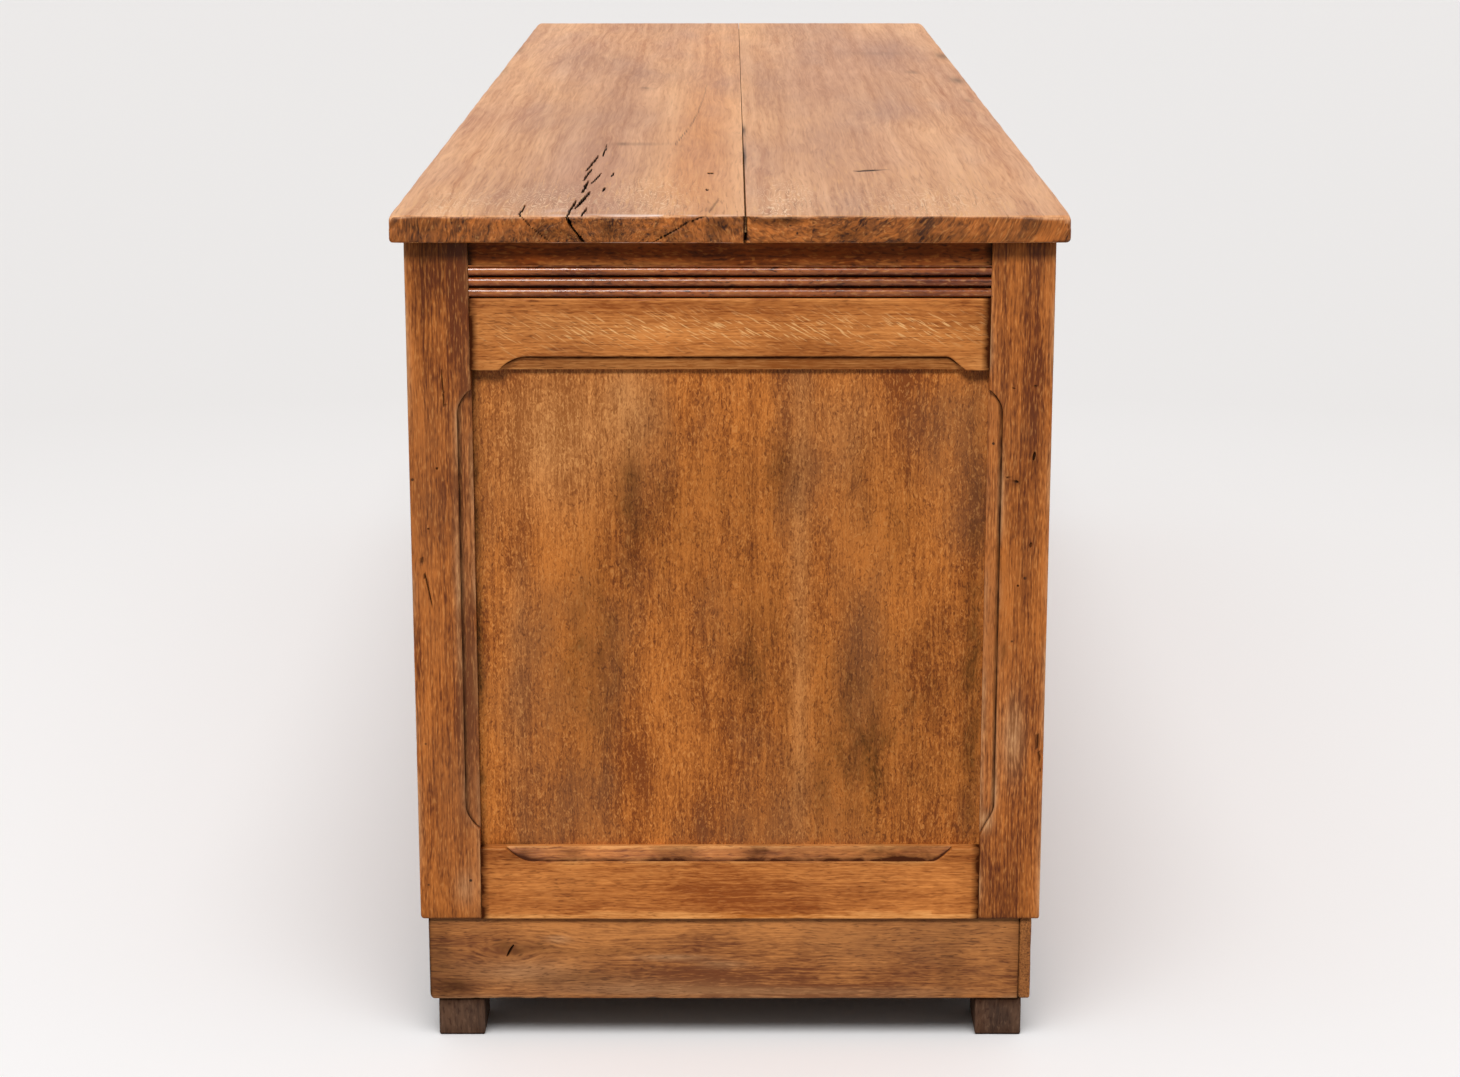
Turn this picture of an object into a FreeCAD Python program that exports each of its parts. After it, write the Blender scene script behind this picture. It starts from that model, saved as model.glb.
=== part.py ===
import FreeCAD, Part
import os
import re
import string
import Sketcher

# An oak workshop chest of drawers, 2.4 m long, that stands free on block feet.
# The frame is in millimetres: X runs along the chest, -Y is the drawer side, +Z is up, and the origin is on
# the floor under the middle of the carcass.

doc = FreeCAD.newDocument("chest_of_drawers")

DRAWER_COLUMNS = 4
DRAWER_ROWS = 3
BEAD_COUNT = 3
FLOOR_BOARD_COUNT = 4
LEFT_TO_RIGHT = range(DRAWER_COLUMNS)
TOP_TO_BOTTOM = range(DRAWER_ROWS)
LEVELS = range(DRAWER_ROWS)

# Driving dimensions, in millimetres
DIMENSIONS = {
    # carcass
    "body_length": 2360,
    "body_depth": 640,
    "post_width": 63,
    "post_thickness": 45,
    "rail_thickness": 27,
    "bottom_rail_height": 77,
    "panel_opening_height": 500,
    "top_rail_height": 72,
    "reeding_height": 33,
    "fascia_height": 25,
    "muntin_width": 63,
    # top
    "top_thickness": 27,
    "top_end_overhang": 20,
    "top_side_overhang": 12,
    "front_plank_width": 317,
    "top_seam_gap": 1.5,
    "top_edge_radius": 5,
    "tongue_width": 20,
    "tongue_thickness": 7,
    "glue_block_length": 80,
    "glue_block_side": 32,
    # joinery
    "fit_clearance": 0.2,
    "tenon_length": 25,
    "tenon_shoulder": 10,
    "groove_depth": 9,
    "panel_thickness": 9,
    "panel_recess": 14,
    "panel_swell_gap": 1.5,
    "housing_depth": 6,
    # stopped chamfers round the panels
    "chamfer_width": 14,
    "chamfer_depth": 8,
    "chamfer_quirk": 1.5,
    "chamfer_margin": 24,
    "chamfer_stop": 24,
    "overcut": 1,
    # reeded moulding
    "reeding_depth": 14,
    "bead_radius": 4.4,
    "bead_pitch": 10.2,
    "bead_quirk": 1,
    "reeding_fillet": 2,
    # plinth, feet and floor
    "foot_height": 42,
    "foot_width": 48,
    "foot_length": 60,
    "plinth_height": 91,
    "plinth_thickness": 12,
    "plinth_setback": 7,
    "bearer_thickness": 27,
    "floor_thickness": 16,
    "floor_board_gap": 1,
    # drawer carriage
    "partition_thickness": 27,
    "drawer_rail_height": 22,
    "drawer_rail_depth": 60,
    "runner_width": 30,
    "guide_rise": 25,
    "stop_length": 40,
    "stop_depth": 22,
    "stop_height": 6,
    # drawers
    "drawer_gap": 1.5,
    "running_gap": 0.3,
    "drawer_front_thickness": 22,
    "drawer_lap": 8,
    "drawer_side_thickness": 14,
    "drawer_side_drop": 6,
    "drawer_back_thickness": 12,
    "drawer_back_space": 22,
    "drawer_bottom_thickness": 8,
    "drawer_bottom_rise": 11,
    "drawer_groove_depth": 6,
    # turned knobs
    "knob_projection": 29,
    "knob_head_radius": 17,
    "knob_head_height": 18,
    "knob_neck_radius": 9,
    "knob_neck_height": 9,
    "knob_collar_radius": 12,
    "knob_collar_height": 3,
    "knob_spigot_radius": 6,
}

# Places and sizes that follow from the driving dimensions
DERIVED = {
    "half_length": "body_length / 2",
    "half_depth": "body_depth / 2",
    "plinth_top": "foot_height + plinth_height",
    "panel_low": "plinth_top + bottom_rail_height",
    "panel_high": "panel_low + panel_opening_height",
    "top_rail_high": "panel_high + top_rail_height",
    "reeding_high": "top_rail_high + reeding_height",
    "carcass_top": "reeding_high + fascia_height",
    "post_in_x": "half_length - post_thickness",
    "post_in_y": "half_depth - post_width",
    "rail_in_x": "half_length - rail_thickness",
    "rail_in_y": "half_depth - rail_thickness",
    "panel_out_x": "half_length - panel_recess",
    "panel_in_x": "panel_out_x - panel_thickness",
    "panel_out_y": "half_depth - panel_recess",
    "panel_in_y": "panel_out_y - panel_thickness",
    "panel_tongue": "groove_depth - panel_swell_gap",
    "top_half_length": "half_length + top_end_overhang",
    "top_half_depth": "half_depth + top_side_overhang",
    "seam_y": "front_plank_width - top_half_depth",
    "back_plank_width": "2 * top_half_depth - front_plank_width",
    "tongue_low": "carcass_top + (top_thickness - tongue_thickness) / 2",
    "chamfer_radius": "(chamfer_stop ^ 2 + chamfer_width ^ 2) / (2 * chamfer_width)",
    "chamfer_slope": "(chamfer_depth - chamfer_quirk) / chamfer_width",
    "plinth_out_x": "half_length - plinth_setback",
    "plinth_out_y": "half_depth - plinth_setback",
    "plinth_in_x": "plinth_out_x - plinth_thickness",
    "plinth_in_y": "plinth_out_y - plinth_thickness",
    "foot_in_y": "plinth_in_y - foot_width",
    "foot_centre_x": "plinth_in_x - foot_length / 2",
    "floor_top": "plinth_top + floor_thickness",
    "floor_board_pitch": f"(2 * rail_in_y + floor_board_gap) / {FLOOR_BOARD_COUNT}",
    "column_width": f"(2 * post_in_x - {DRAWER_COLUMNS - 1} * partition_thickness) / {DRAWER_COLUMNS}",
    "column_pitch": "column_width + partition_thickness",
    "row_height": f"(top_rail_high - panel_low - {DRAWER_ROWS - 1} * drawer_rail_height) / {DRAWER_ROWS}",
    "row_pitch": "row_height + drawer_rail_height",
    "rail_back_y": "drawer_rail_depth - half_depth",
    "back_panel_width": f"(2 * post_in_x - {DRAWER_COLUMNS - 1} * muntin_width) / {DRAWER_COLUMNS}",
    "muntin_pitch": "back_panel_width + muntin_width",
    "front_inside_y": "drawer_front_thickness - half_depth",
    "drawer_back_y": "rail_in_y - drawer_back_space",
    "knob_total_length": "drawer_front_thickness + knob_projection",
}

sheet_of = {}


def fill_sheet(name, cells):
    """One row for each value: its name, then the cell that carries it as an alias. Words make a formula."""
    sheet = doc.addObject("Spreadsheet::Sheet", name)
    for row, (alias, content) in enumerate(cells.items(), start=1):
        formula = isinstance(content, str)
        sheet.set(f"A{row}", alias)
        sheet.set(f"B{row}", "=" + bound(content).replace(f"{name}.", "") if formula else str(content))
        sheet.setAlias(f"B{row}", alias)
        sheet_of[alias] = name
    doc.recompute()


def bound(text):
    """The expression with each size or place written as a cell of its sheet."""
    return re.sub(
        r"[a-z]\w+",
        lambda word: f"{sheet_of[word[0]]}.{word[0]}" if word[0] in sheet_of else word[0],
        text,
    )


fill_sheet("Sizes", DIMENSIONS)
fill_sheet("Places", DERIVED)

subparts = []


def keep(shape_object, label):
    """Marks a finished sub-part, whose label names its file."""
    shape_object.Label = label
    subparts.append(shape_object)
    return shape_object


def place(piece, x="0", y="0", z="0"):
    """Binds where a piece's own origin lies."""
    for axis, text in zip("xyz", (x, y, z)):
        piece.setExpression(f"Placement.Base.{axis}", bound(text))
    return piece


def board(name, x, y, z):
    """A square-edged board between a low and a high expression on each axis."""
    box = doc.addObject("Part::Box", name)
    for side, (low, high) in zip(("Length", "Width", "Height"), (x, y, z)):
        box.setExpression(side, bound(f"({high}) - ({low})"))
    return place(box, x[0], y[0], z[0])


def cut_from(name, base, tools):
    """The base with every tool taken out of it."""
    tool = tools[0] if len(tools) == 1 else join(f"{name}_tools", tools)
    result = doc.addObject("Part::Cut", name)
    result.Base = base
    result.Tool = tool
    return result


def join(name, pieces):
    """Pieces that are one solid in the real object, such as a rail and its tenons."""
    result = doc.addObject("Part::MultiFuse", name)
    result.Shapes = pieces
    return result


def group(label, pieces):
    """Separate solids of one kind, in one node."""
    result = doc.addObject("Part::Compound", label)
    result.Links = pieces
    return keep(result, label)


def mirrored(name, source):
    """The same piece on the other end of the chest."""
    result = doc.addObject("Part::Mirroring", name)
    result.Source = source
    result.Normal = FreeCAD.Vector(1, 0, 0)
    return result


def grown(span, amount="fit_clearance"):
    """A span made larger by a clearance at both ends."""
    low, high = span
    return (f"({low}) - ({amount})", f"({high}) + ({amount})")


def flipped(span):
    """The span on the other side of zero."""
    low, high = span
    return (f"-({high})", f"-({low})")


def about(centre, width):
    """A span of a width about its middle."""
    return (f"({centre}) - ({width}) / 2", f"({centre}) + ({width}) / 2")


def both_ways(reach):
    """A span from minus to plus a distance."""
    return (f"-({reach})", reach)


# Spans that several pieces share
BOTTOM_RAIL_Z = ("plinth_top", "panel_low")
TOP_RAIL_Z = ("panel_high", "top_rail_high")
FRIEZE_Z = ("top_rail_high", "carcass_top")
REEDING_Z = ("top_rail_high", "reeding_high")
CARCASS_Z = ("plinth_top", "carcass_top")
FRONT_RAIL_Z = ("plinth_top", "panel_low - drawer_rail_height")
GROOVE_Z = ("panel_low - groove_depth", "panel_high + groove_depth")
PANEL_Z = ("panel_low - panel_tongue", "panel_high + panel_tongue")
BOTTOM_TENON_Z = ("plinth_top + tenon_shoulder", "panel_low - groove_depth")
TOP_TENON_Z = ("panel_high + groove_depth", "top_rail_high - tenon_shoulder")
FRIEZE_TENON_Z = ("top_rail_high + tenon_shoulder", "carcass_top - tenon_shoulder")
FRONT_TENON_Z = ("plinth_top + tenon_shoulder", "panel_low - drawer_rail_height - tenon_shoulder")
LEFT_RAIL_X = ("-half_length", "-rail_in_x")
LEFT_TENON_X = ("-panel_out_x", "-panel_in_x")
BACK_RAIL_Y = ("rail_in_y", "half_depth")
BACK_TENON_Y = ("panel_in_y", "panel_out_y")
FRONT_RAIL_Y = flipped(BACK_RAIL_Y)
FRONT_TENON_Y = flipped(BACK_TENON_Y)
BETWEEN_POSTS_X = both_ways("post_in_x")
BETWEEN_POSTS_Y = both_ways("post_in_y")
TENONED_X = both_ways("post_in_x + tenon_length")
TENONED_Y = both_ways("post_in_y + tenon_length")


def level_top(level):
    """Height of the surface that a drawer row runs on, counted from the bottom row."""
    return f"panel_low + {level} * row_pitch"


def column_span(column):
    """A drawer column between its posts or partitions, counted from the left."""
    left = f"{column} * column_pitch - post_in_x"
    return (left, f"{left} + column_width")


def column_centre(column):
    return f"{column} * column_pitch + column_width / 2 - post_in_x"


def back_panel_span(panel):
    """A back panel between its posts or muntins, counted from the left."""
    left = f"{panel} * muntin_pitch - post_in_x"
    return (left, f"{left} + back_panel_width")


def stopped_chamfer(name, length, into, across, x, y, z):
    """The cutter for a quirked chamfer whose ends run out in arcs.

    It is made with X into the wood, Y across the face from its edge and Z along the edge, then turned and
    moved so that its origin is one end of that edge.
    """
    slope = doc.addObject("Part::Wedge", f"{name}_slope")
    limits = {
        "Xmin": "-overcut",
        "X2min": "-overcut",
        "Xmax": "chamfer_depth + overcut * chamfer_slope",
        "X2max": "chamfer_quirk",
        "Ymin": "-overcut",
        "Ymax": "chamfer_width",
        "Zmin": "-chamfer_stop",
        "Z2min": "-chamfer_stop",
        "Zmax": f"{length} + chamfer_stop",
        "Z2max": f"{length} + chamfer_stop",
    }
    for limit, text in limits.items():
        slope.setExpression(limit, bound(text))
    deep = ("-overcut", "chamfer_depth + overcut")
    straight = board(
        f"{name}_straight", deep, ("-overcut", "chamfer_width"), ("chamfer_stop", f"{length} - chamfer_stop")
    )
    outline = [straight]
    for end, height in (("start", "chamfer_stop"), ("finish", f"{length} - chamfer_stop")):
        arc = doc.addObject("Part::Cylinder", f"{name}_{end}")
        arc.setExpression("Radius", bound("chamfer_radius"))
        arc.setExpression("Height", bound("chamfer_depth + 2 * overcut"))
        arc.Placement.Rotation = FreeCAD.Rotation(FreeCAD.Vector(0, 1, 0), 90)
        outline.append(place(arc, "-overcut", "chamfer_width - chamfer_radius", height))
    cutter = doc.addObject("Part::MultiCommon", name)
    cutter.Shapes = [slope, join(f"{name}_outline", outline)]
    into, across = FreeCAD.Vector(*into), FreeCAD.Vector(*across)
    cutter.Placement.Rotation = FreeCAD.Rotation(into, across, into.cross(across), "XYZ")
    return place(cutter, x, y, z)


INWARD_X = (1, 0, 0)
INWARD_Y = (0, -1, 0)
TO_FRONT = (0, -1, 0)
TO_BACK = (0, 1, 0)
TO_LEFT = (-1, 0, 0)
TO_RIGHT = (1, 0, 0)
UPWARD = (0, 0, 1)
DOWNWARD = (0, 0, -1)
STILE_CHAMFER = "panel_opening_height - 2 * chamfer_margin"
END_RAIL_CHAMFER = "2 * post_in_y - 2 * chamfer_margin"
BACK_RAIL_CHAMFER = "back_panel_width - 2 * chamfer_margin"


def rail_with_tenons(name, x, y, z, tenon):
    """A rail and the two tenons on its ends, which lie in the panel's plane."""
    return join(name, [board(f"{name}_body", x, y, z), board(f"{name}_tenons", *tenon)])


def rounded_plank(name, width, outer_edge_low):
    """A plank of the top, padded from a rectangle, with its outer upper arrises and corners rounded."""
    body = doc.addObject("PartDesign::Body", name)
    ground = next(plane for plane in body.Origin.OriginFeatures if plane.Role == "XY_Plane")
    outline = body.newObject("Sketcher::SketchObject", f"{name}_outline")
    outline.AttachmentSupport = [(ground, "")]
    outline.MapMode = "FlatFace"
    corners = [FreeCAD.Vector(*corner) for corner in ((0, 0, 0), (2, 0, 0), (2, 1, 0), (0, 1, 0))]
    for start, end in zip(corners, corners[1:] + corners[:1]):
        outline.addGeometry(Part.LineSegment(start, end))
    for line in range(4):
        outline.addConstraint(Sketcher.Constraint("Coincident", line, 2, (line + 1) % 4, 1))
        outline.addConstraint(Sketcher.Constraint("Vertical" if line % 2 else "Horizontal", line))
    outline.addConstraint(Sketcher.Constraint("Coincident", 0, 1, -1, 1))
    along = outline.addConstraint(Sketcher.Constraint("DistanceX", 0, 1, 0, 2, 2))
    across = outline.addConstraint(Sketcher.Constraint("DistanceY", 1, 1, 1, 2, 1))
    outline.setExpression(f"Constraints[{along}]", bound("2 * top_half_length"))
    outline.setExpression(f"Constraints[{across}]", bound(width))
    slab = body.newObject("PartDesign::Pad", f"{name}_slab")
    slab.Profile = outline
    slab.setExpression("Length", bound("top_thickness"))
    doc.recompute()
    bounds = slab.Shape.BoundBox
    outer_y = bounds.YMin if outer_edge_low else bounds.YMax
    seam_y = bounds.YMax if outer_edge_low else bounds.YMin
    rounded = []
    for number, edge in enumerate(slab.Shape.Edges, start=1):
        middle = edge.CenterOfMass
        upper_outer = middle.z == bounds.ZMax and middle.y != seam_y
        if upper_outer or (middle.y == outer_y and middle.z == bounds.Center.z):
            rounded.append(f"Edge{number}")
    worn = body.newObject("PartDesign::Fillet", f"{name}_worn_edges")
    worn.Base = (slab, rounded)
    worn.setExpression("Radius", bound("top_edge_radius"))
    return body


def make_top():
    """Two planks lying along the chest, kept level by a loose tongue in their seam."""
    tongue_y = about("seam_y", "tongue_width")
    tongue_z = ("tongue_low", "tongue_low + tongue_thickness")
    slot = board("tongue_slot", both_ways("top_half_length + overcut"), grown(tongue_y), grown(tongue_z))
    front = rounded_plank("front_plank_blank", "front_plank_width - top_seam_gap / 2", True)
    place(front, "-top_half_length", "-top_half_depth", "carcass_top")
    back = rounded_plank("back_plank_blank", "back_plank_width - top_seam_gap / 2", False)
    place(back, "-top_half_length", "seam_y + top_seam_gap / 2", "carcass_top")
    keep(cut_from("front_plank_slotted", front, [slot]), "top_front_plank")
    keep(cut_from("back_plank_slotted", back, [slot]), "top_back_plank")
    tongue = board("tongue", both_ways("top_half_length - top_edge_radius"), tongue_y, tongue_z)
    keep(tongue, "top_tongue")


def make_glue_blocks():
    """Blocks glued into the angle between the top and the inside of the frieze."""
    block_z = ("carcass_top - glue_block_side", "carcass_top")
    back_y = ("rail_in_y - glue_block_side", "rail_in_y")
    blocks = []
    for column in LEFT_TO_RIGHT:
        block_x = about(column_centre(column), "glue_block_length")
        blocks.append(board(f"front_glue_block_{column}", block_x, flipped(back_y), block_z))
        blocks.append(board(f"back_glue_block_{column}", block_x, back_y, block_z))
    right_x = ("rail_in_x - glue_block_side", "rail_in_x")
    for end, block_x in (("left", flipped(right_x)), ("right", right_x)):
        blocks.append(board(f"{end}_glue_block", block_x, about("0", "glue_block_length"), block_z))
    group("glue_blocks", blocks)


def make_posts():
    """Four corner posts, mortised and grooved for the frames, housed for the drawer rails."""
    end_mortises = [
        board(f"end_mortise_{number}", grown(LEFT_TENON_X), grown(TENONED_Y), grown(tenon_z))
        for number, tenon_z in enumerate((BOTTOM_TENON_Z, TOP_TENON_Z, FRIEZE_TENON_Z))
    ]
    end_groove = board(
        "end_post_groove", grown(LEFT_TENON_X), both_ways("post_in_y + groove_depth"), GROOVE_Z
    )
    back_mortises = [
        board(f"back_mortise_{number}", grown(TENONED_X), grown(BACK_TENON_Y), grown(tenon_z))
        for number, tenon_z in enumerate((BOTTOM_TENON_Z, TOP_TENON_Z, FRIEZE_TENON_Z))
    ]
    back_groove = board(
        "back_post_groove", both_ways("post_in_x + groove_depth"), grown(BACK_TENON_Y), GROOVE_Z
    )
    front_mortises = [
        board(f"front_mortise_{number}", grown(TENONED_X), grown(FRONT_TENON_Y), grown(tenon_z))
        for number, tenon_z in enumerate((FRONT_TENON_Z, FRIEZE_TENON_Z))
    ]
    rail_housings = [
        board(
            f"post_housing_{level}",
            grown(both_ways("post_in_x + housing_depth")),
            grown(("-half_depth", "rail_back_y")),
            grown((f"{level_top(level)} - drawer_rail_height", level_top(level))),
        )
        for level in LEVELS
    ]
    start_z = "panel_low + chamfer_margin"
    finish_z = "panel_high - chamfer_margin"
    front_chamfer = stopped_chamfer(
        "front_post_chamfer", STILE_CHAMFER, INWARD_X, TO_FRONT, "-half_length", "-post_in_y", finish_z
    )
    back_chamfer = stopped_chamfer(
        "back_post_chamfer", STILE_CHAMFER, INWARD_X, TO_BACK, "-half_length", "post_in_y", start_z
    )
    rear_chamfer = stopped_chamfer(
        "rear_post_chamfer", STILE_CHAMFER, INWARD_Y, TO_LEFT, "-post_in_x", "half_depth", finish_z
    )
    post_x = ("-half_length", "-post_in_x")
    back_y = ("post_in_y", "half_depth")
    front_blank = board("front_post_blank", post_x, flipped(back_y), CARCASS_Z)
    back_blank = board("back_post_blank", post_x, back_y, CARCASS_Z)
    ends = [*end_mortises, end_groove]
    front_tools = [*ends, *front_mortises, *rail_housings, front_chamfer]
    back_tools = [*ends, *back_mortises, back_groove, back_chamfer, rear_chamfer]
    front = keep(cut_from("front_post", front_blank, front_tools), "left_front_post")
    back = keep(cut_from("back_post", back_blank, back_tools), "left_back_post")
    keep(mirrored("front_post_mirror", front), "right_front_post")
    keep(mirrored("back_post_mirror", back), "right_back_post")


def make_friezes():
    """A frieze board under the top on each side, rebated for a strip of three reeds."""
    end_tenon = (LEFT_TENON_X, TENONED_Y, FRIEZE_TENON_Z)
    end = rail_with_tenons("end_frieze_blank", LEFT_RAIL_X, BETWEEN_POSTS_Y, FRIEZE_Z, end_tenon)
    end_rebate = board(
        "end_frieze_rebate",
        ("-half_length - overcut", "reeding_depth - half_length"),
        BETWEEN_POSTS_Y,
        ("top_rail_high - overcut", "reeding_high"),
    )
    left = cut_from("left_frieze", end, [end_rebate])
    back_tenon = (TENONED_X, BACK_TENON_Y, FRIEZE_TENON_Z)
    blank = rail_with_tenons("back_frieze_blank", BETWEEN_POSTS_X, BACK_RAIL_Y, FRIEZE_Z, back_tenon)
    back_rebate = board(
        "back_frieze_rebate",
        BETWEEN_POSTS_X,
        ("half_depth - reeding_depth", "half_depth + overcut"),
        ("top_rail_high - overcut", "reeding_high"),
    )
    back = cut_from("back_frieze", blank, [back_rebate])
    front = doc.addObject("Part::Mirroring", "front_frieze")
    front.Source = back
    front.Normal = FreeCAD.Vector(0, 1, 0)
    group("frieze_boards", [left, mirrored("right_frieze", left), front, back])


def make_reeding():
    """Strips with three half-round beads and a top fillet, planted in the friezes' rebates."""
    fillet_z = ("reeding_high - reeding_fillet", "reeding_high")
    end_ground = "bead_radius - half_length"
    strip = [
        board("end_reed_ground", (end_ground, "reeding_depth - half_length"), BETWEEN_POSTS_Y, REEDING_Z),
        board("end_reed_fillet", ("-half_length", end_ground), BETWEEN_POSTS_Y, fillet_z),
    ]
    back_ground = "half_depth - bead_radius"
    back_strip = [
        board("back_reed_ground", BETWEEN_POSTS_X, ("half_depth - reeding_depth", back_ground), REEDING_Z),
        board("back_reed_fillet", BETWEEN_POSTS_X, (back_ground, "half_depth"), fillet_z),
    ]
    for number in range(BEAD_COUNT):
        bead_z = f"top_rail_high + bead_quirk + bead_radius + {number} * bead_pitch"
        bead = doc.addObject("Part::Cylinder", f"end_bead_{number}")
        bead.setExpression("Radius", bound("bead_radius"))
        bead.setExpression("Height", bound("2 * post_in_y"))
        bead.Placement.Rotation = FreeCAD.Rotation(FreeCAD.Vector(1, 0, 0), -90)
        strip.append(place(bead, end_ground, "-post_in_y", bead_z))
        long_bead = doc.addObject("Part::Cylinder", f"back_bead_{number}")
        long_bead.setExpression("Radius", bound("bead_radius"))
        long_bead.setExpression("Height", bound("2 * post_in_x"))
        long_bead.Placement.Rotation = FreeCAD.Rotation(FreeCAD.Vector(0, 1, 0), 90)
        back_strip.append(place(long_bead, "-post_in_x", back_ground, bead_z))
    left = join("left_reeding", strip)
    back = join("back_reeding", back_strip)
    front = doc.addObject("Part::Mirroring", "front_reeding")
    front.Source = back
    front.Normal = FreeCAD.Vector(0, 1, 0)
    group("reeded_mouldings", [left, mirrored("right_reeding", left), front, back])


def make_end_frames():
    """The rails and the loose panel between the posts at each end."""
    groove = board("end_rail_groove", grown(LEFT_TENON_X), BETWEEN_POSTS_Y, GROOVE_Z)
    rails = []
    for name, rail_z, tenon_z, across, edge_z, start_y in (
        ("top", TOP_RAIL_Z, TOP_TENON_Z, UPWARD, "panel_high", "post_in_y - chamfer_margin"),
        ("bottom", BOTTOM_RAIL_Z, BOTTOM_TENON_Z, DOWNWARD, "panel_low", "chamfer_margin - post_in_y"),
    ):
        tenon = (LEFT_TENON_X, TENONED_Y, tenon_z)
        blank = rail_with_tenons(f"end_{name}_rail_blank", LEFT_RAIL_X, BETWEEN_POSTS_Y, rail_z, tenon)
        chamfer = stopped_chamfer(
            f"end_{name}_chamfer", END_RAIL_CHAMFER, INWARD_X, across, "-half_length", start_y, edge_z
        )
        left = cut_from(f"left_{name}_rail", blank, [groove, chamfer])
        rails += [left, mirrored(f"right_{name}_rail", left)]
    group("end_rails", rails)
    left_panel = board("left_panel", LEFT_TENON_X, both_ways("post_in_y + panel_tongue"), PANEL_Z)
    group("end_panels", [left_panel, mirrored("right_panel", left_panel)])


def make_back_frame():
    """Rails, muntins and loose panels that close the back."""
    muntin_centres = [f"{number} * muntin_pitch - post_in_x - muntin_width / 2" for number in LEFT_TO_RIGHT[1:]]
    muntin_tenon_z = (f"{GROOVE_Z[0]} - tenon_length", f"{GROOVE_Z[1]} + tenon_length")
    mortises = [
        board(
            f"muntin_mortise_{number}",
            grown(about(centre, "muntin_width - 2 * groove_depth")),
            grown(BACK_TENON_Y),
            grown(muntin_tenon_z),
        )
        for number, centre in enumerate(muntin_centres)
    ]
    groove = board("back_rail_groove", BETWEEN_POSTS_X, grown(BACK_TENON_Y), GROOVE_Z)
    rails = []
    for name, rail_z, tenon_z, across, edge_z in (
        ("top", TOP_RAIL_Z, TOP_TENON_Z, UPWARD, "panel_high"),
        ("bottom", BOTTOM_RAIL_Z, BOTTOM_TENON_Z, DOWNWARD, "panel_low"),
    ):
        tenon = (TENONED_X, BACK_TENON_Y, tenon_z)
        blank = rail_with_tenons(f"back_{name}_rail_blank", BETWEEN_POSTS_X, BACK_RAIL_Y, rail_z, tenon)
        chamfers = []
        for panel in LEFT_TO_RIGHT:
            left_x, right_x = back_panel_span(panel)
            start_x = f"{right_x} - chamfer_margin" if across == UPWARD else f"{left_x} + chamfer_margin"
            chamfers.append(
                stopped_chamfer(
                    f"back_{name}_chamfer_{panel}",
                    BACK_RAIL_CHAMFER,
                    INWARD_Y,
                    across,
                    start_x,
                    "half_depth",
                    edge_z,
                )
            )
        rails.append(cut_from(f"back_{name}_rail", blank, [groove, *mortises, *chamfers]))
    group("back_rails", rails)

    muntins = []
    for number, centre in enumerate(muntin_centres):
        left_x, right_x = about(centre, "muntin_width")
        body = board(f"muntin_{number}_body", (left_x, right_x), BACK_RAIL_Y, ("panel_low", "panel_high"))
        tenon_x = about(centre, "muntin_width - 2 * groove_depth")
        tenon = board(f"muntin_{number}_tenon", tenon_x, BACK_TENON_Y, muntin_tenon_z)
        tools = [
            board(
                f"muntin_{number}_{side}_groove",
                groove_x,
                grown(BACK_TENON_Y),
                grown(GROOVE_Z, "tenon_length"),
            )
            for side, groove_x in (
                ("left", (f"{left_x} - overcut", f"{left_x} + groove_depth")),
                ("right", (f"{right_x} - groove_depth", f"{right_x} + overcut")),
            )
        ]
        low_z, high_z = "panel_low + chamfer_margin", "panel_high - chamfer_margin"
        for side, across, edge_x, start_z in (
            ("left", TO_RIGHT, left_x, low_z),
            ("right", TO_LEFT, right_x, high_z),
        ):
            tools.append(
                stopped_chamfer(
                    f"muntin_{number}_{side}_chamfer",
                    STILE_CHAMFER,
                    INWARD_Y,
                    across,
                    edge_x,
                    "half_depth",
                    start_z,
                )
            )
        muntins.append(cut_from(f"muntin_{number}", join(f"muntin_{number}_blank", [body, tenon]), tools))
    group("back_muntins", muntins)
    panels = [
        board(f"back_panel_{panel}", grown(back_panel_span(panel), "panel_tongue"), BACK_TENON_Y, PANEL_Z)
        for panel in LEFT_TO_RIGHT
    ]
    group("back_panels", panels)


def make_front_rail():
    """The rail under the bottom row of drawers."""
    tenon = (TENONED_X, FRONT_TENON_Y, FRONT_TENON_Z)
    rail = rail_with_tenons("front_rail", BETWEEN_POSTS_X, FRONT_RAIL_Y, FRONT_RAIL_Z, tenon)
    keep(rail, "front_bottom_rail")


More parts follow.
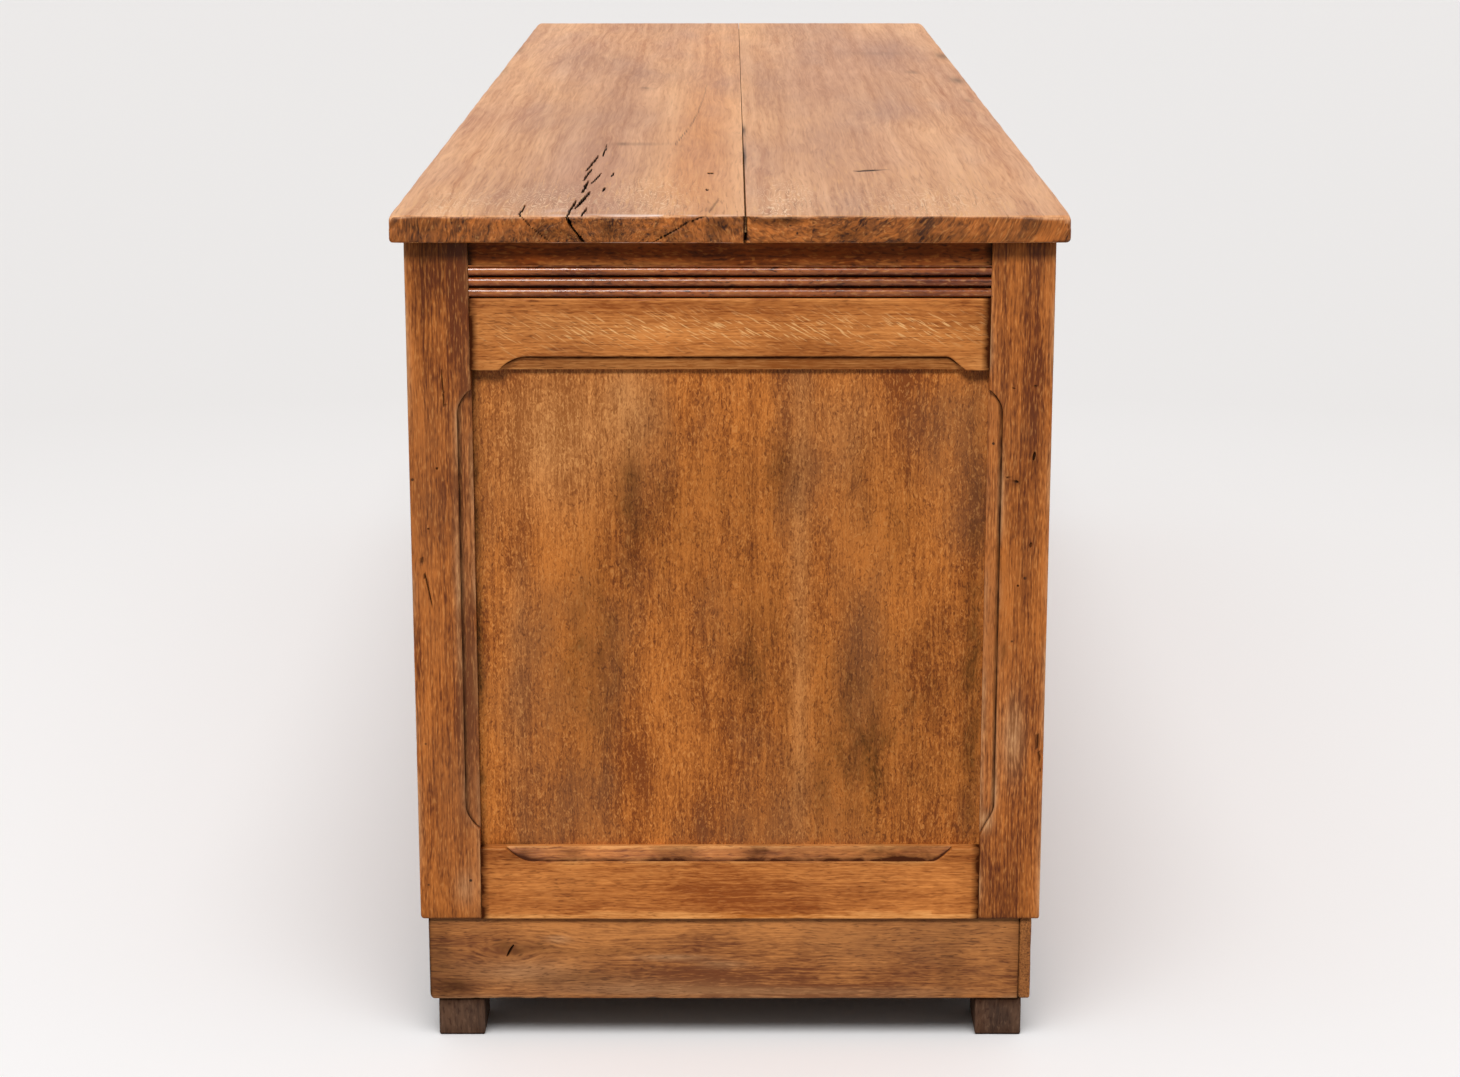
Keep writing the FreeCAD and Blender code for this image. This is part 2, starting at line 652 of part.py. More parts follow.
def make_partitions():
    """Upright boards between the drawer columns, notched round the front rail and frieze."""
    beyond_front = ("-half_depth - overcut", "-rail_in_y")
    partitions = []
    for number in LEFT_TO_RIGHT[1:]:
        left_x = f"{number} * column_pitch - post_in_x - partition_thickness"
        span_x = (left_x, f"{left_x} + partition_thickness")
        blank = board(
            f"partition_{number}_blank", span_x, ("-half_depth", "rail_in_y"), ("floor_top", "carcass_top")
        )
        low_z = ("floor_top - overcut", FRONT_RAIL_Z[1])
        high_z = ("top_rail_high", "carcass_top + overcut")
        tools = [
            board(f"partition_{number}_low_notch", grown(span_x, "overcut"), beyond_front, low_z),
            board(f"partition_{number}_high_notch", grown(span_x, "overcut"), beyond_front, high_z),
        ]
        for level in LEVELS:
            housing_y = ("-half_depth - overcut", "rail_back_y + fit_clearance")
            housing_z = grown((f"{level_top(level)} - drawer_rail_height", level_top(level)))
            for side, housing_x in (
                ("left", (f"{span_x[0]} - overcut", f"{span_x[0]} + housing_depth + fit_clearance")),
                ("right", (f"{span_x[1]} - housing_depth - fit_clearance", f"{span_x[1]} + overcut")),
            ):
                tools.append(board(f"partition_{number}_{side}_{level}", housing_x, housing_y, housing_z))
        partitions.append(cut_from(f"partition_{number}", blank, tools))
    group("partitions", partitions)


def make_drawer_carriage():
    """Rails under the drawer fronts, runners behind them, kickers above the top row, guides and stops."""
    rails, runners, stops = [], [], []
    right_guide_x = ("post_in_x", "rail_in_x")
    for level in LEVELS:
        top = level_top(level)
        level_z = (f"{top} - drawer_rail_height", top)
        guide_z = (level_z[0], f"{top} + guide_rise")
        for end, guide_x in (("left", flipped(right_guide_x)), ("right", right_guide_x)):
            runners.append(board(f"{end}_guide_{level}", guide_x, BETWEEN_POSTS_Y, guide_z))
        for column in LEFT_TO_RIGHT:
            span_x = column_span(column)
            rail_x = grown(span_x, "housing_depth")
            rails.append(
                board(f"drawer_rail_{level}_{column}", rail_x, ("-half_depth", "rail_back_y"), level_z)
            )
            runner_y = ("rail_back_y", "rail_in_y")
            for side, runner_x in (
                ("left", (span_x[0], f"{span_x[0]} + runner_width")),
                ("right", (f"{span_x[1]} - runner_width", span_x[1])),
            ):
                runners.append(board(f"runner_{level}_{column}_{side}", runner_x, runner_y, level_z))
            stop_y = ("front_inside_y + running_gap", "front_inside_y + running_gap + stop_depth")
            for side, sign in (("left", "-"), ("right", "+")):
                stop_x = about(f"{column_centre(column)} {sign} column_width / 4", "stop_length")
                stops.append(
                    board(f"stop_{level}_{column}_{side}", stop_x, stop_y, (top, f"{top} + stop_height"))
                )
    kicker_z = ("top_rail_high", "top_rail_high + drawer_rail_height")
    for column in LEFT_TO_RIGHT:
        span_x = column_span(column)
        for side, kicker_x in (
            ("left", (span_x[0], f"{span_x[0]} + runner_width")),
            ("right", (f"{span_x[1]} - runner_width", span_x[1])),
        ):
            runners.append(board(f"kicker_{column}_{side}", kicker_x, both_ways("rail_in_y"), kicker_z))
    group("drawer_rails", rails)
    group("drawer_runners", runners)
    group("drawer_stops", stops)


def make_base():
    """Plinth boards, the feet that stand inside them, cross bearers and the floor of the carcass."""
    plinth_z = ("foot_height", "plinth_top")
    left_x = ("-plinth_out_x", "-plinth_in_x")
    end_y = ("-plinth_in_y", "plinth_out_y")
    plinth = [
        board("front_plinth", both_ways("plinth_out_x"), ("-plinth_out_y", "-plinth_in_y"), plinth_z),
        board("back_plinth", both_ways("plinth_in_x"), ("plinth_in_y", "plinth_out_y"), plinth_z),
        board("left_plinth", left_x, end_y, plinth_z),
        board("right_plinth", flipped(left_x), end_y, plinth_z),
    ]
    group("plinth_boards", plinth)
    back_foot_y = ("foot_in_y", "plinth_in_y")
    feet, bearers = [], []
    for number, centre in enumerate(("-foot_centre_x", "0", "foot_centre_x")):
        foot_x = about(centre, "foot_length")
        for side, foot_y in (("front", flipped(back_foot_y)), ("back", back_foot_y)):
            feet.append(board(f"{side}_foot_{number}", foot_x, foot_y, ("0", "plinth_top")))
        bearer_x = about(centre, "bearer_thickness")
        bearers.append(board(f"foot_bearer_{number}", bearer_x, both_ways("foot_in_y"), plinth_z))
    for side, centre in (("left", "-column_pitch"), ("right", "column_pitch")):
        bearer_x = about(centre, "bearer_thickness")
        bearers.append(board(f"{side}_bearer", bearer_x, both_ways("plinth_in_y"), plinth_z))
    group("feet", feet)
    group("plinth_bearers", bearers)
    floor = []
    for number in range(FLOOR_BOARD_COUNT):
        low_y = f"{number} * floor_board_pitch - rail_in_y"
        board_y = (low_y, f"{low_y} + floor_board_pitch - floor_board_gap")
        floor.append(board(f"floor_board_{number}", BETWEEN_POSTS_X, board_y, ("plinth_top", "floor_top")))
    group("floor_boards", floor)


def turned_knob():
    """A knob revolved from its half profile: spigot, collar, neck and domed head, from the inside outwards."""
    body = doc.addObject("PartDesign::Body", "turned_knob")
    plane = next(plane for plane in body.Origin.OriginFeatures if plane.Role == "XY_Plane")
    profile = body.newObject("Sketcher::SketchObject", "knob_profile")
    profile.AttachmentSupport = [(plane, "")]
    profile.MapMode = "FlatFace"
    seat = "drawer_front_thickness"
    points = [
        ("0", "0"),
        ("knob_spigot_radius", "0"),
        ("knob_spigot_radius", seat),
        ("knob_collar_radius", seat),
        ("knob_collar_radius", f"{seat} + knob_collar_height"),
        ("knob_neck_radius", f"{seat} + knob_neck_height"),
        ("knob_head_radius", f"{seat} + knob_head_height"),
        ("0", "knob_total_length"),
    ]
    corners = [FreeCAD.Vector(value_of(radius), value_of(height), 0) for radius, height in points]
    for start, end in zip(corners[:6], corners[1:7]):
        profile.addGeometry(Part.LineSegment(start, end))
    rim, crown = corners[6], corners[7]
    centre_height = (crown.y**2 - rim.y**2 - rim.x**2) / (2 * (crown.y - rim.y))
    dome = Part.Circle(FreeCAD.Vector(0, centre_height, 0), FreeCAD.Vector(0, 0, 1), crown.y - centre_height)
    profile.addGeometry(Part.ArcOfCircle(dome, dome.parameter(rim), dome.parameter(crown)))
    profile.addGeometry(Part.LineSegment(crown, corners[0]))
    line_count = len(points)
    for line in range(line_count):
        profile.addConstraint(Sketcher.Constraint("Coincident", line, 2, (line + 1) % line_count, 1))
    profile.addConstraint(Sketcher.Constraint("Coincident", 0, 1, -1, 1))
    profile.addConstraint(Sketcher.Constraint("PointOnObject", 6, 3, -2))
    profile.addConstraint(Sketcher.Constraint("PointOnObject", 7, 1, -2))
    for line, (radius, height) in enumerate(points[1:], start=1):
        corner = corners[line]
        if radius != "0":
            wide = profile.addConstraint(Sketcher.Constraint("DistanceX", -1, 1, line, 1, corner.x))
            profile.setExpression(f"Constraints[{wide}]", bound(radius))
        if height != "0":
            high = profile.addConstraint(Sketcher.Constraint("DistanceY", -1, 1, line, 1, corner.y))
            profile.setExpression(f"Constraints[{high}]", bound(height))
    profile.addConstraint(Sketcher.Constraint("Horizontal", 0))
    turned = body.newObject("PartDesign::Revolution", "turned_shape")
    turned.Profile = profile
    turned.ReferenceAxis = (profile, ["V_Axis"])
    turned.Angle = 360
    return body


def value_of(text):
    """The number that an expression of sizes and places comes to."""
    return float(doc.getObject("Places").evalExpression(bound(text)))


def make_drawer(column, row, knob):
    """A drawer: lapped front, two grooved sides, back, loose bottom and a turned knob."""
    name = f"drawer_{string.ascii_lowercase[column]}{row + 1}"
    floor_z = level_top(DRAWER_ROWS - 1 - row)
    span_x = grown(column_span(column), "-drawer_gap")
    roof_z = f"{floor_z} + row_height - drawer_gap"
    front_z = (f"{floor_z} + drawer_gap", roof_z)
    side_low = f"{floor_z} + running_gap"
    side_z = (side_low, f"{roof_z} - drawer_side_drop")
    bottom_low = f"{side_low} + drawer_bottom_rise"
    bottom_z = (bottom_low, f"{bottom_low} + drawer_bottom_thickness")
    inner_x = grown(span_x, "-drawer_side_thickness")
    bottom_y = ("front_inside_y - drawer_groove_depth + fit_clearance", "drawer_back_y")
    bottom_x = grown(inner_x, "drawer_groove_depth - fit_clearance")
    groove = board(
        f"{name}_groove",
        grown(inner_x, "drawer_groove_depth"),
        ("front_inside_y - drawer_groove_depth", "drawer_back_y + overcut"),
        grown(bottom_z),
    )

    front_tools = [groove]
    side_y = ("drawer_lap - half_depth", "drawer_back_y")
    sides = []
    for side, side_x in (("left", (span_x[0], inner_x[0])), ("right", (inner_x[1], span_x[1]))):
        blank = board(f"{name}_{side}_blank", side_x, side_y, side_z)
        sides.append(cut_from(f"{name}_{side}_side", blank, [groove]))
        lap = board(
            f"{name}_{side}_lap",
            grown(side_x),
            ("drawer_lap - half_depth", "front_inside_y + overcut"),
            grown(front_z, "overcut"),
        )
        front_tools.append(lap)
    knob_x = column_centre(column)
    knob_z = f"{floor_z} + row_height / 2"
    bore = doc.addObject("Part::Cylinder", f"{name}_bore")
    bore.setExpression("Radius", bound("knob_spigot_radius + fit_clearance"))
    bore.setExpression("Height", bound("drawer_front_thickness + 2 * overcut"))
    bore.Placement.Rotation = FreeCAD.Rotation(FreeCAD.Vector(1, 0, 0), -90)
    front_tools.append(place(bore, knob_x, "-half_depth - overcut", knob_z))
    turned = doc.addObject("App::Link", f"{name}_turned_knob")
    turned.LinkedObject = knob
    turned.LinkTransform = False
    turned.Placement.Rotation = FreeCAD.Rotation(FreeCAD.Vector(0, 0, 1), 180)
    keep(place(turned, knob_x, "front_inside_y", knob_z), f"{name}_knob")
    blank = board(f"{name}_front_blank", span_x, ("-half_depth", "front_inside_y"), front_z)
    keep(cut_from(f"{name}_lapped_front", blank, front_tools), f"{name}_front")
    back_y = ("drawer_back_y - drawer_back_thickness", "drawer_back_y")
    back = board(f"{name}_back", inner_x, back_y, (bottom_z[1], side_z[1]))
    bottom = board(f"{name}_bottom", bottom_x, bottom_y, bottom_z)
    group(f"{name}_box", [*sides, back, bottom])


def check_and_export():
    """Stops on any failed object or bad shape, then writes one STEP file for each sub-part."""
    doc.recompute()
    for piece in doc.Objects:
        if "Invalid" in piece.State or "Error" in piece.State:
            raise RuntimeError(f"{piece.Name} failed to rebuild: {piece.State}")
    os.makedirs("parts", exist_ok=True)
    for piece in subparts:
        shape = Part.getShape(piece)
        if shape.isNull() or not shape.isValid() or not shape.Solids:
            raise RuntimeError(f"{piece.Label} has no valid solid")
        shape.exportStep(f"parts/{piece.Label}.step")
        print(f"{piece.Label}: {len(shape.Solids)} solids, {shape.Volume / 1000:.1f} cm3")


make_top()
make_glue_blocks()
make_posts()
make_friezes()
make_reeding()
make_end_frames()
make_back_frame()
make_front_rail()
make_partitions()
make_drawer_carriage()
make_base()
knob_pattern = turned_knob()
for drawer_column in LEFT_TO_RIGHT:
    for drawer_row in TOP_TO_BOTTOM:
        make_drawer(drawer_column, drawer_row, knob_pattern)
check_and_export()
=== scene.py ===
import bpy
import math
import numpy as np
from functools import partial
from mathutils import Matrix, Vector


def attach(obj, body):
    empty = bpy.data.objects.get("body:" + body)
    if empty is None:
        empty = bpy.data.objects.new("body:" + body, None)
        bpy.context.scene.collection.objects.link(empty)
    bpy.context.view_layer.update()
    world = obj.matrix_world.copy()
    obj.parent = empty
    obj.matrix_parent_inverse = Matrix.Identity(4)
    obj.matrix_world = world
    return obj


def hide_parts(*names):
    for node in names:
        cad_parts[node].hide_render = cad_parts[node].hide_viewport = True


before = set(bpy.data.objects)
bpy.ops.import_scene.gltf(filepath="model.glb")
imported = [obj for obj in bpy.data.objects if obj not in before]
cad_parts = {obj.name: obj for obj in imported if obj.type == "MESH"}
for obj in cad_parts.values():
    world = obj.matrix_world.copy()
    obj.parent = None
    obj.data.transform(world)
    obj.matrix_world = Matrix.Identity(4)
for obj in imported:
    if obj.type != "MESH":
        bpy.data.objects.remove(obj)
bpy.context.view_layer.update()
print("frame loaded:", len(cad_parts), "nodes")

# faces of the chest in metres, from the middle of the floor under it
chest = {
    "endX": 1.180, "sideY": 0.320,  # outer faces of posts and rails
    "postInX": 1.135, "postInY": 0.257,  # inner faces of the posts
    "plinthTop": 0.133, "panelLow": 0.210, "panelHigh": 0.710,
    "railHigh": 0.782, "reedHigh": 0.815, "carcassTop": 0.840,
    "railThick": 0.027, "panelBack": 0.014, "panelThick": 0.009, "panelTongue": 0.0075,
}


# value noise from -1 to 1: random numbers on a lattice, blended between neighbours by a smooth step
def latticeNoise(u, v, seed):
    size = 64
    table = np.random.default_rng(seed).uniform(-1, 1, (size, size))
    u, v = np.broadcast_arrays(np.asarray(u, float), np.asarray(v, float))
    i, j = np.floor(u).astype(int), np.floor(v).astype(int)
    fu, fv = u - i, v - j
    fu, fv = fu * fu * (3 - 2 * fu), fv * fv * (3 - 2 * fv)
    i, j, right, up = i % size, j % size, (i + 1) % size, (j + 1) % size
    low = table[i, j] * (1 - fu) + table[right, j] * fu
    high = table[i, up] * (1 - fu) + table[right, up] * fu
    return low * (1 - fv) + high * fv


# all faces are turned round where the signed volume, a sum of corner triple products, is negative
def facedOutward(verts, quads, tris):
    fan = np.vstack([quads[:, [0, 1, 2]], quads[:, [0, 2, 3]], tris])
    p = verts[fan] - verts.mean(0)
    volume = np.einsum("ij,ij->i", p[:, 0], np.cross(p[:, 1], p[:, 2])).sum()
    return (quads, tris) if volume > 0 else (quads[:, ::-1], tris[:, ::-1])


# one value per ring point, then the mean of the first and of the last ring for the two middle points
def ringValues(values):
    return np.concatenate([values.reshape(-1, *values.shape[2:]), values[:1].mean(1), values[-1:].mean(1)])


# closed loops of points, one per station, joined by quads; a fan to the middle point closes each end
def carryRings(rings, **fields):
    n, k = rings.shape[:2]
    verts = ringValues(rings)
    row, col = np.arange(n - 1)[:, None] * k, np.arange(k)[None]
    nxt = (col + 1) % k
    quads = np.stack([row + col, row + nxt, row + k + nxt, row + k + col], -1).reshape(-1, 4)
    c, d, last, middle = col[0], nxt[0], (n - 1) * k, 0 * col[0] + n * k
    tris = np.vstack([np.stack([middle, d, c], -1), np.stack([middle + 1, last + c, last + d], -1)])
    quads, tris = facedOutward(verts, quads, tris)
    return {"verts": verts, "quads": quads, "tris": tris, **{key: ringValues(v) for key, v in fields.items()}}


# sum of soft marks, given in millimetres: each is the exponential of minus its squared distance in reaches
def softMarks(u, v, marks):
    total = np.zeros(np.broadcast(u, v).shape)
    for atU, atV, reachU, reachV, amount in marks:
        total += amount * np.exp(-((1000 * u - atU) / reachU) ** 2 - ((1000 * v - atV) / reachV) ** 2)
    return total


edgeCut = {"width": 0.014, "depth": 0.008, "quirk": 0.0015}  # stopped chamfer with a small upright quirk


# width of the stopped chamfers along a board: full between the stops; a stop is part circle arc, part S-curve
def chamferWidth(s, runs):
    full = edgeCut["width"]
    width = np.zeros_like(s)
    for start, finish, first, last in runs:
        ends = []
        for reach, (size, roundness) in ((s - start, first), (finish - s, last)):
            t = np.clip(reach / size, 0, 1)
            radius = (size ** 2 + full ** 2) / (2 * full)
            arc = 1 - (radius - np.sqrt(radius ** 2 - ((1 - t) * size) ** 2)) / full
            ends.append(roundness * arc + (1 - roundness) * (0.5 - 0.5 * np.cos(np.pi * t)))
        width = np.maximum(width, full * np.minimum(*ends))
    return width


# sideways wander of a crack, and its share of the given width
crack = {"wobble": 0.0006, "wobbleReach": 0.011, "fullness": 0.65}


# depth of the cracks at (u, v): each is a lens round a line, deepest in its middle
def crackDepth(u, v, cracks, seed):
    depth = np.zeros(np.broadcast(u, v).shape)
    bent = crack["wobble"] * latticeNoise(u / crack["wobbleReach"], v / crack["wobbleReach"], seed)
    for u0, v0, u1, v1, width, deep in cracks:
        du, dv = u1 - u0, v1 - v0
        size = math.hypot(du, dv)
        t = ((u - u0) * du + (v - v0) * dv) / size ** 2
        side = ((u - u0) * dv - (v - v0) * du) / size + bent
        halfWide = crack["fullness"] * width * np.sqrt(np.clip(1 - (2 * t - 1) ** 2, 1e-6, 1))
        depth = np.maximum(depth, deep * np.clip(1 - (side / halfWide) ** 2, 0, 1) * (t > 0) * (t < 1))
    return depth


# what a board has unless its piece says otherwise, in metres; slits, spots, rubs and painted highlights, and
# rays in millimetres
board = {
    "arris": 0.0012, "endArris": 0.0006, "capInset": 0.002, "arrisMost": 0.3, "quirkShare": 0.8,
    "step": 0.008, "ripple": 0.00025, "rippleReach": (0.11, 0.018), "rippleTaper": 0.006,
    "nearEdge": [], "farEdge": [], "sideEdge": [], "corners": [], "slits": [], "knots": [],
    "arrisWear": 0.45, "wearReach": 0.06, "nicks": 0.004, "nickReach": 0.009, "nickFrom": 0.62,
    "rubbed": 1.0, "rubReach": 0.0020, "patchReach": 0.035, "paleEdge": 0, "paleAmount": 0.8,
    "endSoil": 0.35, "endReach": 0.010, "jointSoil": 1.5, "jointReach": 0.0013,
    "quirkSoil": 1.5, "quirkReach": 0.0009, "cutSoil": 0, "lumpReach": 0.045,
    "spots": [], "speckleReach": (0.02, 0.009), "rubs": [], "rays": [],
    "stopLines": 20, "slitLines": 24, "slitStep": 0.0007, "slitMargin": 0.003, "cornerLines": 9,
    "edgeLines": (0, 0.001, 0.0025, 0.005), "edgeMargin": 0.009,
    "sideLines": (0.08, 0.25, 0.5, 0.75, 0.92, 1.0),
}


# a board: a rectangle with rounded corners carried along the length; arris radius varies by noise,
# and stopped chamfers cut the near and far edge of the face and the back edge of the far side
def boardShape(at, axes, size, seed, **own):
    b = {**board, **own}
    length, width, thick = size
    endArris, margin, slits = b["endArris"], b["slitMargin"], np.array(b["slits"]) / 1000
    runs = [b[k] for k in ("nearEdge", "farEdge", "sideEdge")]
    depth, quirk = edgeCut["depth"], edgeCut["quirk"]
    turn = np.linspace(0, np.pi / 2, 4)
    s = [np.linspace(endArris, length - endArris, max(4, int(length / b["step"])))]
    for start, finish, first, last in sum(runs, []):
        s += [np.linspace(start, start + first[0], b["stopLines"])]
        s += [np.linspace(finish - last[0], finish, b["stopLines"])]
    for s0, a0, s1, a1, wide, deep in slits:  # closer lines round each slit
        s += [np.linspace(min(s0, s1) - margin, max(s0, s1) + margin, b["slitLines"])]
    for atEnd, atFar, radius in b["corners"]:  # closer lines where a corner of the outline is rounded
        s += [np.abs(atEnd * length - radius * np.linspace(0, 1, b["cornerLines"]) ** 2)]
    s = np.unique(np.round(np.hstack(s), 5))
    s = s[(s >= endArris) & (s <= length - endArris)]
    cap, capInset = endArris * (1 - np.cos(turn[:-1])), endArris * (1 - np.sin(turn[:-1]))
    closing = endArris + b["capInset"]
    inset = np.hstack([closing, capInset, 0 * s, capInset[::-1], closing])[:, None]
    s = np.hstack([0, cap, s, length - cap[::-1], length])[:, None]

    cuts = wA, wB, wC = [chamferWidth(s, r) for r in runs]
    hA, hB, hC = highs = [depth - (depth - quirk) * w / edgeCut["width"] for w in cuts]
    radii = []
    for k in range(4):  # slow wear and a few nicks on each arris, which stays smaller than a quirk beside it
        slow = latticeNoise(s / b["wearReach"], 0.3 + k, seed)
        nick = np.clip(latticeNoise(s / b["nickReach"], 7.1 + k, seed + 1) - b["nickFrom"], 0, 1)
        r = np.minimum(b["arris"] * (1 + b["arrisWear"] * slow) + b["nicks"] * nick, thick * b["arrisMost"])
        radii.append(np.minimum(r, b["quirkShare"] * highs[k]) if k < 3 and runs[k] else r)
    rA, rB, rC, rD = radii

    q, half, third = turn[None, 1:], np.array([[0.5, 1.0]]), np.array([[0.34, 0.67, 1.0]])
    side = np.array([b["sideLines"]])
    lo, hi = wA + rA, width - wB - rB
    fine = min(1.0, float((hi - lo).min()) / 0.03)  # narrow faces have their lines closer
    edge, inner = np.array([b["edgeLines"]]) * fine, b["edgeMargin"] * fine
    mid = [np.linspace(0, 1, max(3, int(width / b["step"])))]
    for s0, a0, s1, a1, wide, deep in slits:
        mid += [np.arange(min(a0, a1) - margin, max(a0, a1) + margin, b["slitStep"]) / width]
    mid = np.unique(np.round(np.hstack(mid), 4))
    mid = mid[(mid >= 0) & (mid <= 1)][None]
    faceA = np.hstack([lo + edge, lo + inner + mid * (hi - lo - 2 * inner), hi - edge[:, ::-1]])
    taper = np.clip(np.minimum(faceA - lo, hi - faceA) / b["rippleTaper"], 0, 1) * (inset == 0)
    waveS, waveA = b["rippleReach"]
    ripple = b["ripple"] * latticeNoise(s / waveS, faceA / waveA, seed + 3) * taper
    dent = crackDepth(s + 0 * faceA, faceA, slits, seed + 7)
    # the section as (across, down) stretches: face, far chamfer, far side, back, near side, near chamfer
    overlap = 0.0005
    parts = [(faceA, ripple + dent), (hi + rB * np.sin(q), rB * (1 - np.cos(q)))]
    lowB = depth if runs[1] else rB
    if runs[1]:
        parts += [(width - wB + 0 * half, rB + (hB - rB) * half)]
        parts += [(width - wB * (1 - third), hB + (depth - hB + overlap) * third)]
    sideEnd = thick - wC - rC
    parts += [(width + 0 * side, lowB + (sideEnd - lowB) * side)]
    parts += [(width - rC + rC * np.cos(q), sideEnd + rC * np.sin(q))]
    backFrom = width - depth if runs[2] else width - rC
    if runs[2]:
        parts += [(width - rC - (hC - rC) * half, thick - wC + 0 * half)]
        parts += [(width - hC - (depth - hC) * third, thick - wC * (1 - third))]
    parts += [(backFrom + (rD - backFrom) * side, thick + 0 * side)]
    parts += [(rD - rD * np.sin(q), thick - rD + rD * np.cos(q))]
    lowA = depth + overlap if runs[0] else rA
    parts += [(0 * side, thick - rD + (lowA - thick + rD) * side)]
    if runs[0]:
        parts += [(wA * third, lowA + (hA - lowA) * third), (wA + 0 * half, hA + (rA - hA) * half)]
    parts += [(wA + rA - rA * np.cos(q[:, :-1]), rA - rA * np.sin(q[:, :-1]))]
    a = np.hstack([u + 0 * v + 0 * s for u, v in parts])
    d = np.hstack([v + 0 * u + 0 * s for u, v in parts])
    for atEnd, atFar, radius in b["corners"]:  # a quarter circle takes the corner off
        reach = radius - np.minimum(np.abs(atEnd * length - s), radius)
        cut = radius - np.sqrt(radius ** 2 - reach ** 2)
        a = np.minimum(a, width - cut) if atFar else np.maximum(a, cut)
    a, d = np.clip(a, inset, width - inset), np.clip(d, inset - 0.001 * (inset == 0), thick - inset)

    wear, cutA, cutB = np.zeros_like(a), wA > 0.001, wB > 0.001
    arrises = ((wA, 0, 1), (width - wB, 0, 1), (width, thick - wC, 1), (0, thick, 1),
               (width, depth, cutB), (0, depth, cutA))
    for k, (edgeA, edgeD, there) in enumerate(arrises):  # rubbed pale in patches
        patchy = np.clip(0.5 + 0.8 * latticeNoise(s / b["patchReach"], 11.3 + k, seed + 2), 0, 1)
        near = np.exp(-np.hypot(a - edgeA, d - edgeD) / b["rubReach"])
        wear = np.maximum(wear, b["rubbed"] * near * patchy * there)
    # pale marks listed per piece: rubbed wear, and on some near pieces painted highlights and painted light
    # on chamfers
    wear += softMarks(s, a, b["rubs"])
    wear[a < b["paleEdge"]] += b["paleAmount"]
    # darker places: dirt at the ends and joints, dirt and painted shade in the quirks and slits, darker
    # chamfer faces, and spots, some of them painted shade
    soil = 0 * a
    for amount, reach in ((b["endSoil"], b["endReach"]), (b["jointSoil"], b["jointReach"])):
        soil = soil + amount * (np.exp(-s / reach) + np.exp((s - length) / reach))
    # dirt and painted shade in the inside corner at each quirk's foot
    for there, h, footA in ((cutA, hA, wA), (cutB, hB, width - wB)):
        soil += b["quirkSoil"] * np.exp(-np.hypot(a - footA, d - h) / b["quirkReach"]) * there
    lumps = np.clip(0.45 + 1.3 * latticeNoise(s / b["lumpReach"], 0.7, seed + 9), 0, 1)
    soil += b["cutSoil"] * lumps * ((a >= width - wB) & cutB & (d > hB - 1e-5) & (d < depth + 0.0006))
    waveS, waveA = b["speckleReach"]
    speckle = 0.85 + 0.35 * latticeNoise(s / waveS, a / waveA, seed + 5)
    soil += speckle * softMarks(s, a, b["spots"])
    # dirt and painted shade in the slits
    soil[:, :faceA.shape[1]] += np.clip(dent / 0.001, 0, 1)

    along, across, out = axes
    points = np.array(at) + s[..., None] * along + a[..., None] * across - d[..., None] * out
    shift = np.random.default_rng(seed).uniform(0, 6)
    pith = b.get("pith", (width * 0.5, 0.25))
    bent = a + 0
    for spot, aside, reach in b["knots"]:  # the grain runs round a knot
        near = np.exp(-((s - spot) / (3 * reach)) ** 2 - ((a - aside) / (1.3 * reach)) ** 2)
        bent = bent - 0.9 * (a - aside) * near
    grain = np.stack([s + shift + 0 * a, bent - pith[0], d + pith[1]], -1)
    return carryRings(points, grain=grain, wear=wear, soil=soil, ray=softMarks(s, a, b["rays"]))


# shapes are stacked into one mesh with its grain, its wear with painted sheen and highlights, and its soil
# with painted shade, which rides and stands for its CAD nodes
def addPiece(name, shapes, finish, body, nodes, sharp=38):
    start = np.cumsum([0] + [len(s["verts"]) for s in shapes])
    quads, tris = (np.vstack([s[k] + o for s, o in zip(shapes, start)]) for k in ("quads", "tris"))
    joined = {key: np.concatenate([s[key] for s in shapes]) for key in shapes[0]
              if key not in ("quads", "tris")}
    mesh = bpy.data.meshes.new(name)
    mesh.from_pydata(joined["verts"].tolist(), [], quads.tolist() + tris.tolist())
    for key in ("grain", "wear", "soil", "ray", "open", "dusk", "bloomAndGlint"):
        if key in joined:
            kind, field = ("FLOAT_VECTOR", "vector") if key == "grain" else ("FLOAT", "value")
            values = joined[key].astype(np.float32).ravel()
            mesh.attributes.new(key, kind, "POINT").data.foreach_set(field, values)
    mesh.shade_smooth()
    mesh.set_sharp_from_angle(angle=math.radians(sharp))
    for used in finish if isinstance(finish, list) else [finish]:
        mesh.materials.append(used)
    if "part" in joined:  # which finish each face has
        mesh.polygons.foreach_set("material_index", joined["part"].astype(np.int32))
    piece = bpy.data.objects.new(name, mesh)
    bpy.context.scene.collection.objects.link(piece)
    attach(piece, body)
    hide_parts(*nodes)


# sRGB hex to linear red, green, blue
def colour(hexValue):
    c = [int(hexValue[i:i + 2], 16) / 255 for i in (1, 3, 5)]
    return tuple(v / 12.92 if v <= 0.04045 else ((v + 0.055) / 1.055) ** 2.4 for v in c) + (1.0,)


mainOutput = {"Attribute": "Fac", "Mix": 2, "TexCoord": "Object"}  # others are read at their first output


# adds a node with its settings, links or sets its sockets, in order or by name, and gives the output to read
def addNode(tree, kind, sockets=(), output=None, **settings):
    node = tree.nodes.new("ShaderNode" + kind)
    for key, value in settings.items():
        setattr(node, key, value)
    for key, value in (sockets.items() if isinstance(sockets, dict) else enumerate(sockets)):
        if isinstance(value, bpy.types.NodeSocket):
            tree.links.new(value, node.inputs[key])
        else:
            node.inputs[key].default_value = value
    return node.outputs[mainOutput.get(kind, 0) if output is None else output]


